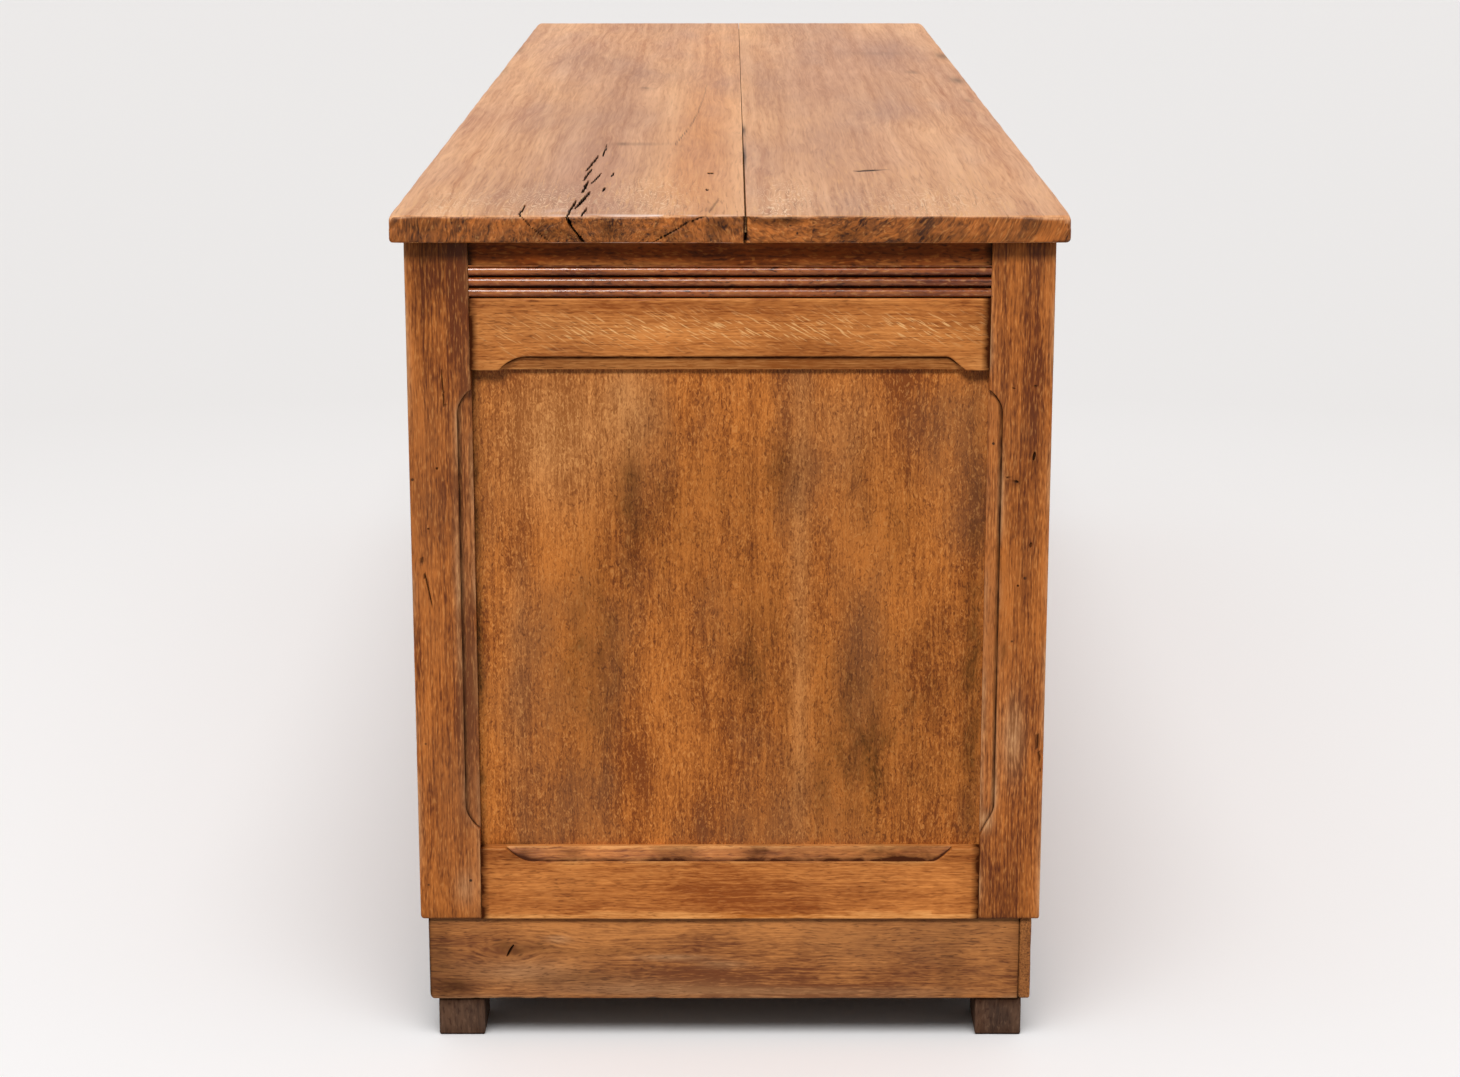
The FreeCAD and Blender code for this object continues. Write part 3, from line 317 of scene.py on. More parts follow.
# length along the grain and width across it of each pattern, in metres, its fineness, and its slant;
# pores are really 0.3 mm wide and are drawn 1.5 mm wide so that they show
grainLayers = {
    "wander": (0.60, 0.12, 1.0, 0.0), "band": (1.10, 0.024, 2.0, 0.0), "cloud": (0.17, 0.075, 3.0, 0.0),
    "stain": (0.22, 0.105, 3.0, 0.0), "streak": (0.11, 0.0040, 3.0, 0.0), "tick": (0.0085, 0.0029, 1.0, 0.0),
    "mottle": (0.022, 0.011, 2.0, 0.0), "fleck": (0.024, 0.0011, 1.0, 0.5),
}
curlShare = {"mottle": 1.0, "tick": 0.5}  # how much of a look's curl these patterns have
mixOrder = ("ring", "band", "cloud", "streak", "mottle", "tick")
# where in a pattern's noise a mark starts and where it is full
markFrom = {"stain": (0.47, 0.66), "clump": (0.38, 0.62), "paleTick": (0.60, 0.68), "fleck": (0.58, 0.67),
            "pore": (0.40, 0.31), "wave": (0.16, 0.04), "hole": (0.070, 0.040), "holeGroup": (0.50, 0.53),
            "dirtAndShade": (0.3, 0.65), "gloss": (0.3, 0.7)}
wormHole = {"spacing": 0.028, "amount": 0.9, "colour": "#1c0e07"}  # holes 1.6 mm wide, one to each 28 mm
surface = {"ior": 1.46, "noiseRough": 0.55, "ringSoft": 0.8, "poresLeast": 0.3, "poresInDirtAndShade": 1.5,
           "dirtAndShadeLeast": 0.55, "dirtAndShadeShine": 0.02, "rayLines": 7.0, "rayCurl": 1.2, "streakRelief": 0.6,
           "reliefHigh": 0.0006, "insidePith": (0, 0.11, 0.27)}


# oak from a planed board under old wax: soft growth rings round the pith, swaying fibres, open pores that
# cluster in grey stains, pale rays, dirt and painted shade in hollows and smudges, and bleached rubbed
# arrises with painted highlights and sheen
def oakFinish(name, look):
    material = bpy.data.materials.new(name)
    material.use_nodes = True
    tree = material.node_tree
    bsdf = tree.nodes["Principled BSDF"].inputs
    add = partial(addNode, tree)
    carried = "turn" not in look  # new pieces carry their grain; frame nodes read their own place
    if carried:
        grain = add("Attribute", output="Vector", attribute_name="grain")
        wear = add("Attribute", attribute_name="wear")
        soil = add("Attribute", attribute_name="soil")
    else:
        place = {"Vector": add("TexCoord"), "Location": surface["insidePith"], "Rotation": look["turn"]}
        grain = add("Mapping", place)
    if "polar" in look:  # end grain: round the pith and out from it take the place of along and across
        parts = add("SeparateXYZ", (grain,)).node.outputs
        angle = add("Math", (parts["Y"], parts["Z"]), operation="ARCTAN2")
        around = add("Math", (angle, look["polar"]), operation="MULTIPLY")
        radius = add("VectorMath", (grain, (0, 1, 1)), operation="MULTIPLY")
        radius = add("VectorMath", (radius,), "Value", operation="LENGTH")
        grain = add("CombineXYZ", (around, radius, parts["X"]))
    # fibres sway sideways by a few millimetres over a hand's width
    slow = add("Mapping", {"Vector": grain, "Scale": look["swayReach"]}, vector_type="TEXTURE")
    slow = add("TexNoise", {"Vector": slow, "Scale": 1.0, "Detail": 2.0})
    aside = add("Math", (slow, look["sway"], -0.5 * look["sway"]), operation="MULTIPLY_ADD")
    aside = add("CombineXYZ", (0.0, aside, aside))
    swayed = add("VectorMath", (grain, aside), operation="ADD")
    layer = {}
    for key, usual in grainLayers.items():
        own = look["layers"].get(key, ())
        long, wide, detail, slant = *own, *usual[len(own):]
        stretch = {"Vector": swayed, "Scale": (long, wide, wide), "Rotation": (0, 0, slant)}
        place = add("Mapping", stretch, vector_type="TEXTURE")
        curl = look["curl"] * curlShare.get(key, 0.0)
        layer[key] = add("TexNoise", {"Vector": place, "Scale": 1.0, "Detail": detail,
                                      "Roughness": surface["noiseRough"], "Distortion": curl})
    # rings: distance from the pith, moved a little by the wander, cut into steps of one year's growth
    radius = add("VectorMath", (grain, (0, 1, 1)), operation="MULTIPLY")
    radius = add("VectorMath", (radius,), "Value", operation="LENGTH")
    ring = add("Math", (radius, 1 / look["ring"]), operation="MULTIPLY")
    ring = add("Math", (layer["wander"], look["wander"] / look["ring"], ring), operation="MULTIPLY_ADD")
    ring = add("Math", (ring,), operation="FRACT")
    layer["ring"] = add("MapRange", (ring, 0.0, surface["ringSoft"]), interpolation_type="SMOOTHSTEP")

    tone = 0.5 - 0.5 * sum(look["mix"])
    for key, amount in zip(mixOrder, look["mix"]):
        tone = add("Math", (layer[key], amount, tone), operation="MULTIPLY_ADD")
    tone = add("Math", (tone, 0.0), operation="MAXIMUM")
    paint = add("Mix", {0: tone, 6: colour(look["dark"]), 7: colour(look["pale"])}, data_type="RGBA")
    # pale worn colours where the wear attribute is: rubbed and bleached wear, and the painted highlights,
    # painted light and painted sheen that some pieces carry
    if carried:
        worn = {0: tone, 6: colour(look["worn"][0]), 7: colour(look["worn"][1])}
        bleachedAndLit = add("Mix", worn, data_type="RGBA")
        rubbed = add("Math", (wear, look["wearAmount"]), operation="MULTIPLY", use_clamp=True)
        paint = add("Mix", {0: rubbed, 6: paint, 7: bleachedAndLit}, data_type="RGBA")

    # coats over the wood as (share, colour, blend), the first one lowest
    stained = add("MapRange", (layer["stain"], *markFrom["stain"], 0.0, look["stainAmount"]))
    coats = [(stained, look["stain"], "MIX")]
    if "tints" in look:  # mauve where dusk is above nothing, warm where it is below
        dusk = add("Attribute", attribute_name="dusk")
        for way, tint in zip((1.0, -1.0), look["tints"]):
            share = add("Math", (dusk, way), operation="MULTIPLY", use_clamp=True)
            coats.append((share, tint, "MULTIPLY"))
    # pores cluster in stains and in dirt and painted shade, rays show where a board is marked for them,
    # and fine marks fade away where the top is polished smooth
    clump = add("MapRange", (layer["stain"], *markFrom["clump"], surface["poresLeast"]))
    if carried:
        clump = add("Math", (soil, surface["poresInDirtAndShade"], clump), operation="MULTIPLY_ADD", use_clamp=True)
        marked = add("Attribute", attribute_name="ray")
    fresh = (add("Attribute", attribute_name="open"),) if "open" in look else ()
    for mark, key, amount, tint, limits in (
            ("paleTick", "tick", look["tickAmount"], look["fleck"], ()),
            ("fleck", "fleck", look["fleckAmount"], look["fleck"], (marked,) if carried else ()),
            ("pore", "tick", look["poreAmount"], look["pore"], (clump,))):
        share = add("MapRange", (layer[key], *markFrom[mark], 0.0, amount))
        for limit in limits + fresh:
            share = add("Math", (share, limit), operation="MULTIPLY")
        coats.append((share, tint, "MIX"))
    if "ray" in look:  # wavy rays: the level line of a curled pattern, where the piece is marked for it
        wave = add("Mapping", {"Vector": grain, "Scale": look["rayReach"]}, vector_type="TEXTURE")
        curled = {"Vector": wave, "Scale": 1.0, "Detail": 1.0, "Distortion": surface["rayCurl"]}
        wave = add("TexNoise", curled)
        wave = add("Math", (wave, surface["rayLines"]), operation="MULTIPLY")
        wave = add("Math", (wave, 0.5), operation="PINGPONG")
        wave = add("MapRange", (wave, *markFrom["wave"]))
        wave = add("Math", (wave, marked), operation="MULTIPLY")
        coats.append((wave, look["ray"], "MIX"))
    if look["holes"]:  # worm holes, in groups
        spaced = add("Mapping", {"Vector": grain, "Scale": 3 * (wormHole["spacing"],)}, vector_type="TEXTURE")
        cell = add("TexVoronoi", {"Vector": spaced, "Scale": 1.0})
        hole = add("MapRange", (cell, *markFrom["hole"], 0.0, wormHole["amount"]))
        group = add("MapRange", (layer["cloud"], *markFrom["holeGroup"]))
        hole = add("Math", (hole, group), operation="MULTIPLY")
        coats.append((hole, wormHole["colour"], "MIX"))
    # dirt, and painted shade in quirks, slits, cracks, reed hollows and along some edges, darkens the wood
    # and dulls its shine
    if carried:
        patchy = add("MapRange", (layer["mottle"], *markFrom["dirtAndShade"], surface["dirtAndShadeLeast"], 1.0))
        dirtAndShade = add("Math", (soil, patchy), operation="MULTIPLY", use_clamp=True)
        coats.append((dirtAndShade, look["soil"], "MIX"))
        sheen = add("MapRange", (dirtAndShade, 0.0, 1.0, look["shine"], surface["dirtAndShadeShine"]))  # dirt and painted shade are dull
        tree.links.new(sheen, bsdf["Specular IOR Level"])
    if "bloomAndGlint" in look:  # whitish film of wax and dust, and a painted highlight on the top's near arris
        coats.append((add("Attribute", attribute_name="bloomAndGlint"), look["bloomAndGlint"], "MIX"))
    for share, tint, blend in coats:
        paint = add("Mix", {0: share, 6: paint, 7: colour(tint)}, data_type="RGBA", blend_type=blend)
    tree.links.new(paint, bsdf["Base Color"])
    gloss = add("MapRange", (layer["cloud"], *markFrom["gloss"], *look["rough"]))
    tree.links.new(gloss, bsdf["Roughness"])
    bsdf["IOR"].default_value = surface["ior"]
    bsdf["Specular IOR Level"].default_value = look["shine"]
    relief = add("Math", (layer["streak"], surface["streakRelief"], layer["tick"]), operation="MULTIPLY_ADD")
    bump = add("Bump", {"Height": relief, "Strength": look["bump"], "Distance": surface["reliefHigh"]})
    tree.links.new(bump, bsdf["Normal"])
    return material


# a look's mix gives the amount of each pattern in mixOrder; its layers say where a pattern's sizes differ
oak = {
    "ring": 0.0032, "wander": 0.008, "mix": (0.12, 1.3, 1.9, 1.3, 0.9, 0.7), "layers": {}, "holes": False,
    "curl": 0.8, "sway": 0.014, "swayReach": (0.075, 0.035, 0.035), "stain": "#6b452b", "stainAmount": 0.45,
    "fleck": "#dca462", "fleckAmount": 0.12, "tickAmount": 0.40, "pore": "#2e1508", "poreAmount": 0.75,
    "worn": ("#ad672e", "#e2a059"), "wearAmount": 0.7, "soil": "#2b170c", "rough": (0.40, 0.58),
    "shine": 0.25, "bump": 0.35,
}
# counter top: brown oak bleached by use and painted paler for its sheen, long soft streaks, cloudy with old
# spills
topOak = oakFinish("waxedOakTop", {
    **oak, "dark": "#3a1c0c", "pale": "#bb7033", "worn": ("#b36d39", "#fac392"), "wearAmount": 1.0,
    "open": True, "tickAmount": 0.40, "poreAmount": 0.4, "pore": "#7a4522", "tints": ("#d8d2e2", "#efdcc7"),
    "bloomAndGlint": "#eed6ca", "mix": (0.0, 0.9, 1.3, 0.8, 0.6, 0.6), "stain": "#b98360", "stainAmount": 0.3,
    "curl": 0.7, "soil": "#160a04", "ray": "#f6d3ab", "rayReach": (0.075, 0.011, 0.011), "sway": 0.02,
    "swayReach": (0.25, 0.05, 0.05),
    "layers": {"band": (2.0, 0.045), "cloud": (0.55, 0.10), "stain": (0.50, 0.12, 2.0),
               "streak": (0.90, 0.008), "mottle": (0.30, 0.013), "tick": (0.07, 0.0027)}})
# sawn ends of the top: dark swirling rings round the pith with golden wood between
endOak = oakFinish("sawnOakEnds", {
    **oak, "polar": 0.15, "dark": "#2e1306", "pale": "#b86a2e", "worn": ("#aa6736", "#edb98a"), "holes": True,
    "stain": "#7a4a28", "stainAmount": 0.3, "curl": 2.2, "tickAmount": 0.2, "poreAmount": 0.45,
    "fleckAmount": 0.1, "mix": (0.0, 0.6, 1.7, 1.1, 1.5, 0.7), "soil": "#160a04", "sway": 0.012,
    "swayReach": (0.03, 0.02, 0.02),
    "layers": {"band": (0.10, 0.012), "cloud": (0.040, 0.024), "stain": (0.06, 0.03, 2.0),
               "streak": (0.022, 0.0042, 2.0), "mottle": (0.018, 0.008), "tick": (0.011, 0.0030),
               "fleck": (0.004, 0.020, 1.0, 0.0)}})
# posts: reddish brown, straight upright grain
postOak = oakFinish("waxedOakPosts", {
    **oak, "dark": "#602d11", "pale": "#bb6d2f", "worn": ("#a36e42", "#d2a478"), "holes": True, "sway": 0.006,
    "stain": "#7a4a2a", "tickAmount": 0.16, "pore": "#3c1c0c", "poreAmount": 0.24, "shine": 0.2, "curl": 0.4,
    "layers": {"tick": (0.010, 0.0016), "streak": (0.12, 0.0021), "mottle": (0.040, 0.009)},
    "mix": (0.12, 1.7, 2.0, 1.9, 0.8, 1.3)})
# friezes: dark oak, painted darker still as the shade under the top's overhang
friezeOakShaded = oakFinish("waxedOakFriezesShaded", {
    **oak, "dark": "#491c05", "pale": "#873f12", "shine": 0.1, "fleck": "#a0602a", "tickAmount": 0.5,
    "stainAmount": 0.2, "mix": (0.12, 1.3, 1.9, 1.9, 0.9, 1.0)})
fineGrain = {"streak": (0.060, 0.0018), "tick": (0.010, 0.0016)}
# rails and drawer fronts: golden with slanting ray flecks
railOak = oakFinish("waxedOakRails", {
    **oak, "dark": "#88461a", "pale": "#d38441", "worn": ("#b86c2c", "#eda963"), "fleck": "#eab273",
    "fleckAmount": 0.85, "poreAmount": 0.35, "tickAmount": 0.05, "stainAmount": 0.15, "soil": "#3c1a08",
    "sway": 0.007, "shine": 0.15, "layers": {"fleck": (0.019, 0.0016), **fineGrain},
    "mix": (0.12, 1.2, 1.5, 1.6, 0.6, 0.8)})
# panels: golden brown, cloudy with old stain
panelOak = oakFinish("waxedOakPanels", {
    **oak, "dark": "#783c12", "pale": "#c37430", "worn": ("#b5743a", "#dfa468"), "soil": "#33200f",
    "stainAmount": 0.5, "shine": 0.2, "pore": "#512a12", "poreAmount": 0.35, "tickAmount": 0.2, "curl": 2.6,
    "layers": {"tick": (0.0060, 0.0024), "streak": (0.05, 0.0022)}, "mix": (0.1, 0.9, 1.9, 1.6, 0.6, 1.9)})
# reeds: dark old polish and painted shade in the hollows, shining on the rounds
reedOak = oakFinish("polishedOakReeds", {
    **oak, "dark": "#54200a", "pale": "#994e20", "soil": "#220a02", "rough": (0.16, 0.24), "shine": 0.36,
    "stainAmount": 0.1, "tickAmount": 0.2, "bump": 0.15})
# plinth: brown and dull from mops and shoes
plinthOak = oakFinish("scuffedOakPlinth", {
    **oak, "dark": "#69381a", "pale": "#bd7a40", "worn": ("#b48558", "#dcb389"), "rough": (0.5, 0.65),
    "sway": 0.010, "poreAmount": 0.45, "tickAmount": 0.05, "layers": fineGrain,
    "mix": (0.12, 1.3, 1.9, 1.6, 0.7, 0.8)})
# feet: grey brown, bare and dirty
footOak = oakFinish("dirtyOakFeet", {
    **oak, "dark": "#2c1d15", "pale": "#593f2e", "worn": ("#57473a", "#77655a"), "wearAmount": 0.4,
    "fleck": "#6b503e", "rough": (0.65, 0.8)})
# bare inside timber: dry and pale brown
bare = {**oak, "rough": (0.65, 0.8), "fleck": "#d2aa78", "poreAmount": 0.45}
drawerOak = oakFinish("bareOakDrawers", {**bare, "dark": "#8d6036", "pale": "#c99f6c"})
# turned knobs: dark from hands
knobOak = oakFinish("polishedOakKnobs", {
    **oak, "dark": "#4a210d", "pale": "#8d4f24", "rough": (0.32, 0.42), "shine": 0.3})
# inside timber that is seen only with a drawer open: dull brown, painted darker as the shade inside
inside = {**bare, "dark": "#744b25", "pale": "#ad7f4b"}
insideX = oakFinish("bareOakInsideLong", {**inside, "turn": (0, 0, 0)})
insideY = oakFinish("bareOakInsideCross", {**inside, "turn": (0, 0, math.pi / 2)})
print("oak finishes mixed")

xDir, yDir, zDir = np.eye(3)
frontAxes, backAxes = (xDir, zDir, -yDir), (xDir, zDir, yDir)  # along, across and out of a board's face
endX, sideY, halfX, halfY = (chest[k] for k in ("endX", "sideY", "postInX", "postInY"))
panelHeight = chest["panelHigh"] - chest["panelLow"]
arc = (0.024, 1.0)  # a stop's length and roundness

# corner posts
post = {"width": 0.063, "thick": 0.045, "chamferFrom": 0.101, "chamferTo": 0.553,
        "board": {"arris": 0.0016, "endArris": 0.0025, "jointSoil": 0.0, "quirkSoil": 1.2, "rubbed": 1.4}}
# near end's posts: chamfers (from, to, first stop, last stop) and rounded corners (end, far side, radius);
# in millimetres, darker places and rubs with painted light (along, across, reach along, reach across,
# amount), and splits and pits (from along, from across, to along, to across, width, depth)
nearPosts = {
    "left_back_post": {
        "nearEdge": [(0.0974, 0.5577, (0.026, 0.8), (0.026, 1))],
        "corners": [(0, 1, 0.005)],
        "spots": [(690, 34, 30, 30, 0.35), (640, 45, 60, 12, 0.25), (30, 40, 30, 30, 0.2)],
        "slits": [(654, 12, 604, 16.5, 1.3, 2), (578, 28.5, 534, 26.5, 1.2, 1.2),
            (390, 54, 334, 43, 1.3, 2), (479, 34.8, 476.4, 35.2, 2.4, 1), (417, 45.6, 414.6, 45.3, 2.2, 1),
            (409.6, 25.7, 407.2, 26, 2.2, 1)],
        # the last rub pales the chamfer, which faces away from the light: painted light
        "rubs": [(360, 17, 120, 3, 0.6), (35, 16, 18, 10, 0.65), (330, 7, 250, 6, 0.22)],
    },
    "left_front_post": {
        "nearEdge": [(0.09, 0.5577, (0.036, 0.35), (0.024, 0.9))],
        "corners": [(0, 1, 0.003)],
        "spots": [(30, 30, 30, 30, 0.2), (489, 46, 12, 4, 0.5), (464, 28, 5, 7, 0.5), (289, 20, 10, 3, 0.6),
            (370, 35, 120, 30, 0.16)],
        "slits": [(160, 61, 215, 54, 1.4, 2), (559.8, 24.7, 558.5, 24.3, 3, 1.2),
            (560, 45.7, 562.6, 45.8, 3.6, 1), (560, 14.3, 562.2, 14.4, 2.2, 1),
            (495, 46.2, 486, 45.7, 2.6, 1.6), (465.8, 26.2, 464.2, 31.2, 2.2, 1.2),
            (469.6, 19.4, 467.5, 19.6, 2.2, 1), (402, 44.9, 396.5, 44.5, 2.6, 1.4),
            (358, 33.3, 355.5, 32.9, 2.4, 1)],
        # the last rub is a painted highlight on the curve of the lower stop
        "rubs": [(197, 32, 38, 10, 1), (330, 7, 250, 6, 0.12), (106, 6, 9, 6, 1.2)],
    },
}
for seed, (name, sx, sy) in enumerate((("left_front_post", -1, -1), ("left_back_post", -1, 1),
                                       ("right_front_post", 1, -1), ("right_back_post", 1, 1))):
    run = [(post["chamferFrom"], post["chamferTo"], arc, arc)]
    own = {**post["board"], "nearEdge": run, "sideEdge": run if sy > 0 else [], **nearPosts.get(name, {})}
    size = (chest["carcassTop"] - chest["plinthTop"], post["width"], post["thick"])
    shape = boardShape((sx * endX, sy * halfY, chest["plinthTop"]), (zDir, sy * yDir, sx * xDir), size,
                       20 + seed, **own)
    addPiece("post_" + name[:-5], [shape], postOak, "carcass", [name])
print("posts done")

# end panels, and smudges, painted shade by the left and lower edges, and pale rubbed bands of the near one
endPanel = {"step": 0.006, "pith": (0.3, 0.5)}
nearPanel = {
    "spots": [(373, 364, 45, 10, 0.5), (360, 352, 80, 55, 0.3), (227, 406, 85, 34, 0.42),
        (185, 410, 55, 30, 0.22), (120, 400, 70, 30, 0.08), (404, 214, 35, 22, 0.38),
        (375, 260, 50, 50, 0.18), (352, 93, 55, 24, 0.34), (385, 130, 50, 20, 0.28),
        (187, 250, 35, 16, 0.34), (230, 235, 60, 30, 0.2), (100, 130, 60, 22, 0.12),
        # the last two spots on this line are painted shade: a dark line along the left edge by the post and
        # one by the lower left corner
        (227, 61, 80, 30, 0.16), (190, 16.5, 230, 11, 0.68), (260, 520, 500, 5, 0.95), (8, 490, 4, 35, 0.9),
        (120, 110, 120, 100, 0.4), (110, 130, 90, 30, 0.18), (85, 172, 50, 7, 0.35),
        (85, 121, 35, 12, 0.28), (260, 250, 150, 100, 0.18)],
    "rubs": [(250, 193.5, 400, 10, 0.4), (440, 440, 70, 55, 0.75), (470, 365, 50, 30, 0.6),
        (200, 480, 120, 12, 0.3), (450, 150, 60, 50, 0.2)],
}
# near end's rails: stops, the pale middle band of the upper one, painted light on its downward chamfer, and
# its darker edges; a painted highlight along the lower one's chamfer
nearTopRail = {
    "nearEdge": [(0.023, 0.486, (0.021, 0.35), (0.029, 1))],
    # the last rub is painted light on the downward chamfer
    "rubs": [(160, 40, 180, 15, 0.24), (400, 46, 100, 16, 0.4), (250, 7, 300, 6, 0.9)],
    "spots": [(260, 21, 300, 6, 0.16), (20, 30, 20, 20, 0.22), (260, 68, 300, 4, 0.15),
        (120, 35, 130, 40, 0.13)],
    "rays": [(170, 42, 170, 15, 1), (360, 40, 90, 15, 0.9), (470, 30, 30, 20, 0.4), (50, 45, 50, 12, 0.5)],
}
nearLowRail = {
    "farEdge": [(0.028, 0.488, (0.021, 0.5), (0.028, 0.8))],
    "rubbed": 1.8,
    "quirkSoil": 1,
    "spots": [(85, 71, 55, 9, 0.75), (270, 71, 200, 9, 0.28), (228, 70, 14, 6, 0.7), (420, 70, 12, 6, 0.5),
        (474, 70, 12, 6, 0.9)],
    # the last rub is a painted highlight along the upper arris of the chamfer
    "rubs": [(250, 45, 300, 10, 0.1), (250, 76.5, 240, 1.2, 1)],
}
# end frames: rails, friezes, reeds and panels
endRail = {"arris": 0.0012, "top": {"pith": (0.03, 0.06)},
           "low": {"pith": (0.05, 0.10), "paleEdge": 0.0062, "cutSoil": 0.35}}
rails, friezes, reeds, endPanels = [], [], [], []


# a board across one end, from one height to another: its length runs from post to post
def railBoard(sx, low, high, seed, **own):
    size = (2 * halfY, high - low, chest["railThick"])
    return boardShape((sx * endX, -halfY, low), (yDir, zDir, sx * xDir), size, seed,
                      arris=endRail["arris"], **own)


# a panel in its grooves: its upright board reaches one tongue further than the opening on all sides
def panelBoard(at, axes, opening, seed, **own):
    tongue = chest["panelTongue"]
    size = (panelHeight + 2 * tongue, opening + 2 * tongue, chest["panelThick"])
    return boardShape(at - tongue * (axes[0] + axes[1]) - chest["panelBack"] * axes[2], axes, size, seed,
                      endSoil=0.0, **own)


reed = {"radius": 0.0047, "pitch": 0.0107, "quirk": 0.0009, "fillet": 0.0012, "depth": 0.014, "step": 0.012,
        "wear": 0.3, "wearReach": 0.0012, "soil": 2, "soilFrom": 0.0022, "soilReach": 0.002}


# three half-round beads and a fillet: a section of half circles on a flat ground, carried along the strip
def reedShape(at, along, out, length, seed):
    s = np.linspace(0, length, max(40, int(length / reed["step"])))[:, None]
    r, bow = reed["radius"], np.linspace(0, np.pi, 13)[None]
    a, d = [np.array([[0.0]])], [np.array([[r]])]
    for k in range(3):
        rub = 1 - 0.06 * np.clip(latticeNoise(s / 0.05, 3.3 * k, seed), 0, 1)
        a.append(reed["quirk"] + r + k * reed["pitch"] - r * np.cos(bow))
        d.append(r - r * np.sin(bow) * rub)
    high, soft = chest["reedHigh"] - chest["railHigh"], 0.0003  # soft is the fillet's small arris
    foot = high - reed["fillet"]
    a.append(np.array([[foot, foot, high - 0.0002, high, high, 0.0]]))
    d.append(np.array([[r, soft, 0.0, soft, reed["depth"], reed["depth"]]]))
    a, d = np.hstack([v + 0 * s for v in a]), np.hstack([v + 0 * s for v in d])
    points = np.array(at) + s[..., None] * along + a[..., None] * zDir - d[..., None] * out
    grain = np.stack([s + seed + 0 * a, a - 0.01, d + 0.2], -1)
    patchy = np.clip(0.5 + 0.7 * latticeNoise(s / 0.05, a / 0.01, seed + 1), 0, 1)
    wear = reed["wear"] * np.clip(1 - d / reed["wearReach"], 0, 1) * patchy
    # dark old polish and painted shade, deeper in the hollows between the beads
    soil = reed["soil"] * np.clip((d - reed["soilFrom"]) / reed["soilReach"], 0, 1)
    return carryRings(points, grain=grain, wear=wear, soil=soil)


for sx, seed in ((-1, 30), (1, 40)):
    run, near = [(arc[0], 2 * halfY - arc[0], arc, arc)], sx < 0
    top = {"nearEdge": run, **endRail["top"], **(nearTopRail if near else {})}
    low = {"farEdge": run, **endRail["low"], **(nearLowRail if near else {})}
    rails.append(railBoard(sx, chest["panelHigh"], chest["railHigh"], seed, **top))
    rails.append(railBoard(sx, chest["plinthTop"], chest["panelLow"], seed + 1, **low))
    friezes.append(railBoard(sx, chest["reedHigh"], chest["carcassTop"], seed + 2))
    reeds.append(reedShape((sx * endX, -halfY, chest["railHigh"]), yDir, sx * xDir, 2 * halfY, seed + 3))
    endPanels.append(panelBoard((sx * endX, -halfY, chest["panelLow"]), (zDir, yDir, sx * xDir), 2 * halfY,
                                seed + 4, **endPanel, **(nearPanel if near else {})))

# back frame: two rails with a chamfer at each panel, three muntins, four panels
back = {"muntin": 0.063, "opening": 0.52025, "pitch": 0.58325}
openings = [-halfX + k * back["pitch"] for k in range(4)]
runs = [(x + halfX + arc[0], x + halfX + back["opening"] - arc[0], arc, arc) for x in openings]
run = [(arc[0], panelHeight - arc[0], arc, arc)]
backRails, muntins, backPanels = [], [], []
for low, high, seed, edge in ((chest["panelHigh"], chest["railHigh"], 50, "nearEdge"),
                              (chest["plinthTop"], chest["panelLow"], 51, "farEdge")):
    size = (2 * halfX, high - low, chest["railThick"])
    backRails.append(boardShape((-halfX, sideY, low), backAxes, size, seed, **{edge: runs}))
for k in range(3):
    muntins.append(boardShape((openings[k] + back["opening"], sideY, chest["panelLow"]), (zDir, xDir, yDir),
                              (panelHeight, back["muntin"], chest["railThick"]), 52 + k,
                              nearEdge=run, farEdge=run))
for k in range(4):
    backPanels.append(panelBoard((openings[k], sideY, chest["panelLow"]), (zDir, xDir, yDir), back["opening"],
                                 56 + k, pith=(0.1 * k, 0.5)))
for sy, seed in ((-1, 60), (1, 62)):
    friezes.append(boardShape((-halfX, sy * sideY, chest["reedHigh"]), (xDir, zDir, sy * yDir),
                              (2 * halfX, chest["carcassTop"] - chest["reedHigh"], chest["railThick"]), seed))
    reeds.append(reedShape((-halfX, sy * sideY, chest["railHigh"]), xDir, sy * yDir, 2 * halfX, seed + 1))
for name, shapes, finish, slotName, node in (
        ("rails_end", rails, railOak, "frame_oak", "end_rails"),
        ("friezes", friezes, friezeOakShaded, "frame_oak", "frieze_boards"),
        ("reeds", reeds, reedOak, "reeded_oak", "reeded_mouldings"),
        ("panels_end", endPanels, panelOak, "panel_oak", "end_panels"),
        ("rails_back", backRails, railOak, "frame_oak", "back_rails"),
        ("muntins_back", muntins, postOak, "frame_oak", "back_muntins"),
        ("panels_back", backPanels, panelOak, "panel_oak", "back_panels")):
    addPiece(name, shapes, finish, "carcass", [node], sharp=50 if name == "reeds" else 38)
print("end and back frames done")

# plinth boards: front, back, near end and far end
plinth = {"low": 0.042, "endX": 1.173, "sideY": 0.313, "thick": 0.012, "arris": 0.0016, "frontArris": 0.0034,
          "endArris": 0.0025}
pX, pY, pThick = plinth["endX"], plinth["sideY"], plinth["thick"]
plinthRuns = [((-pX, -pY), frontAxes, 2 * pX), ((-pX + pThick, pY), backAxes, 2 * (pX - pThick)),
              ((-pX, -pY + pThick), (yDir, zDir, -xDir), 2 * pY - pThick),
              ((pX, -pY + pThick), (yDir, zDir, xDir), 2 * pY - pThick)]
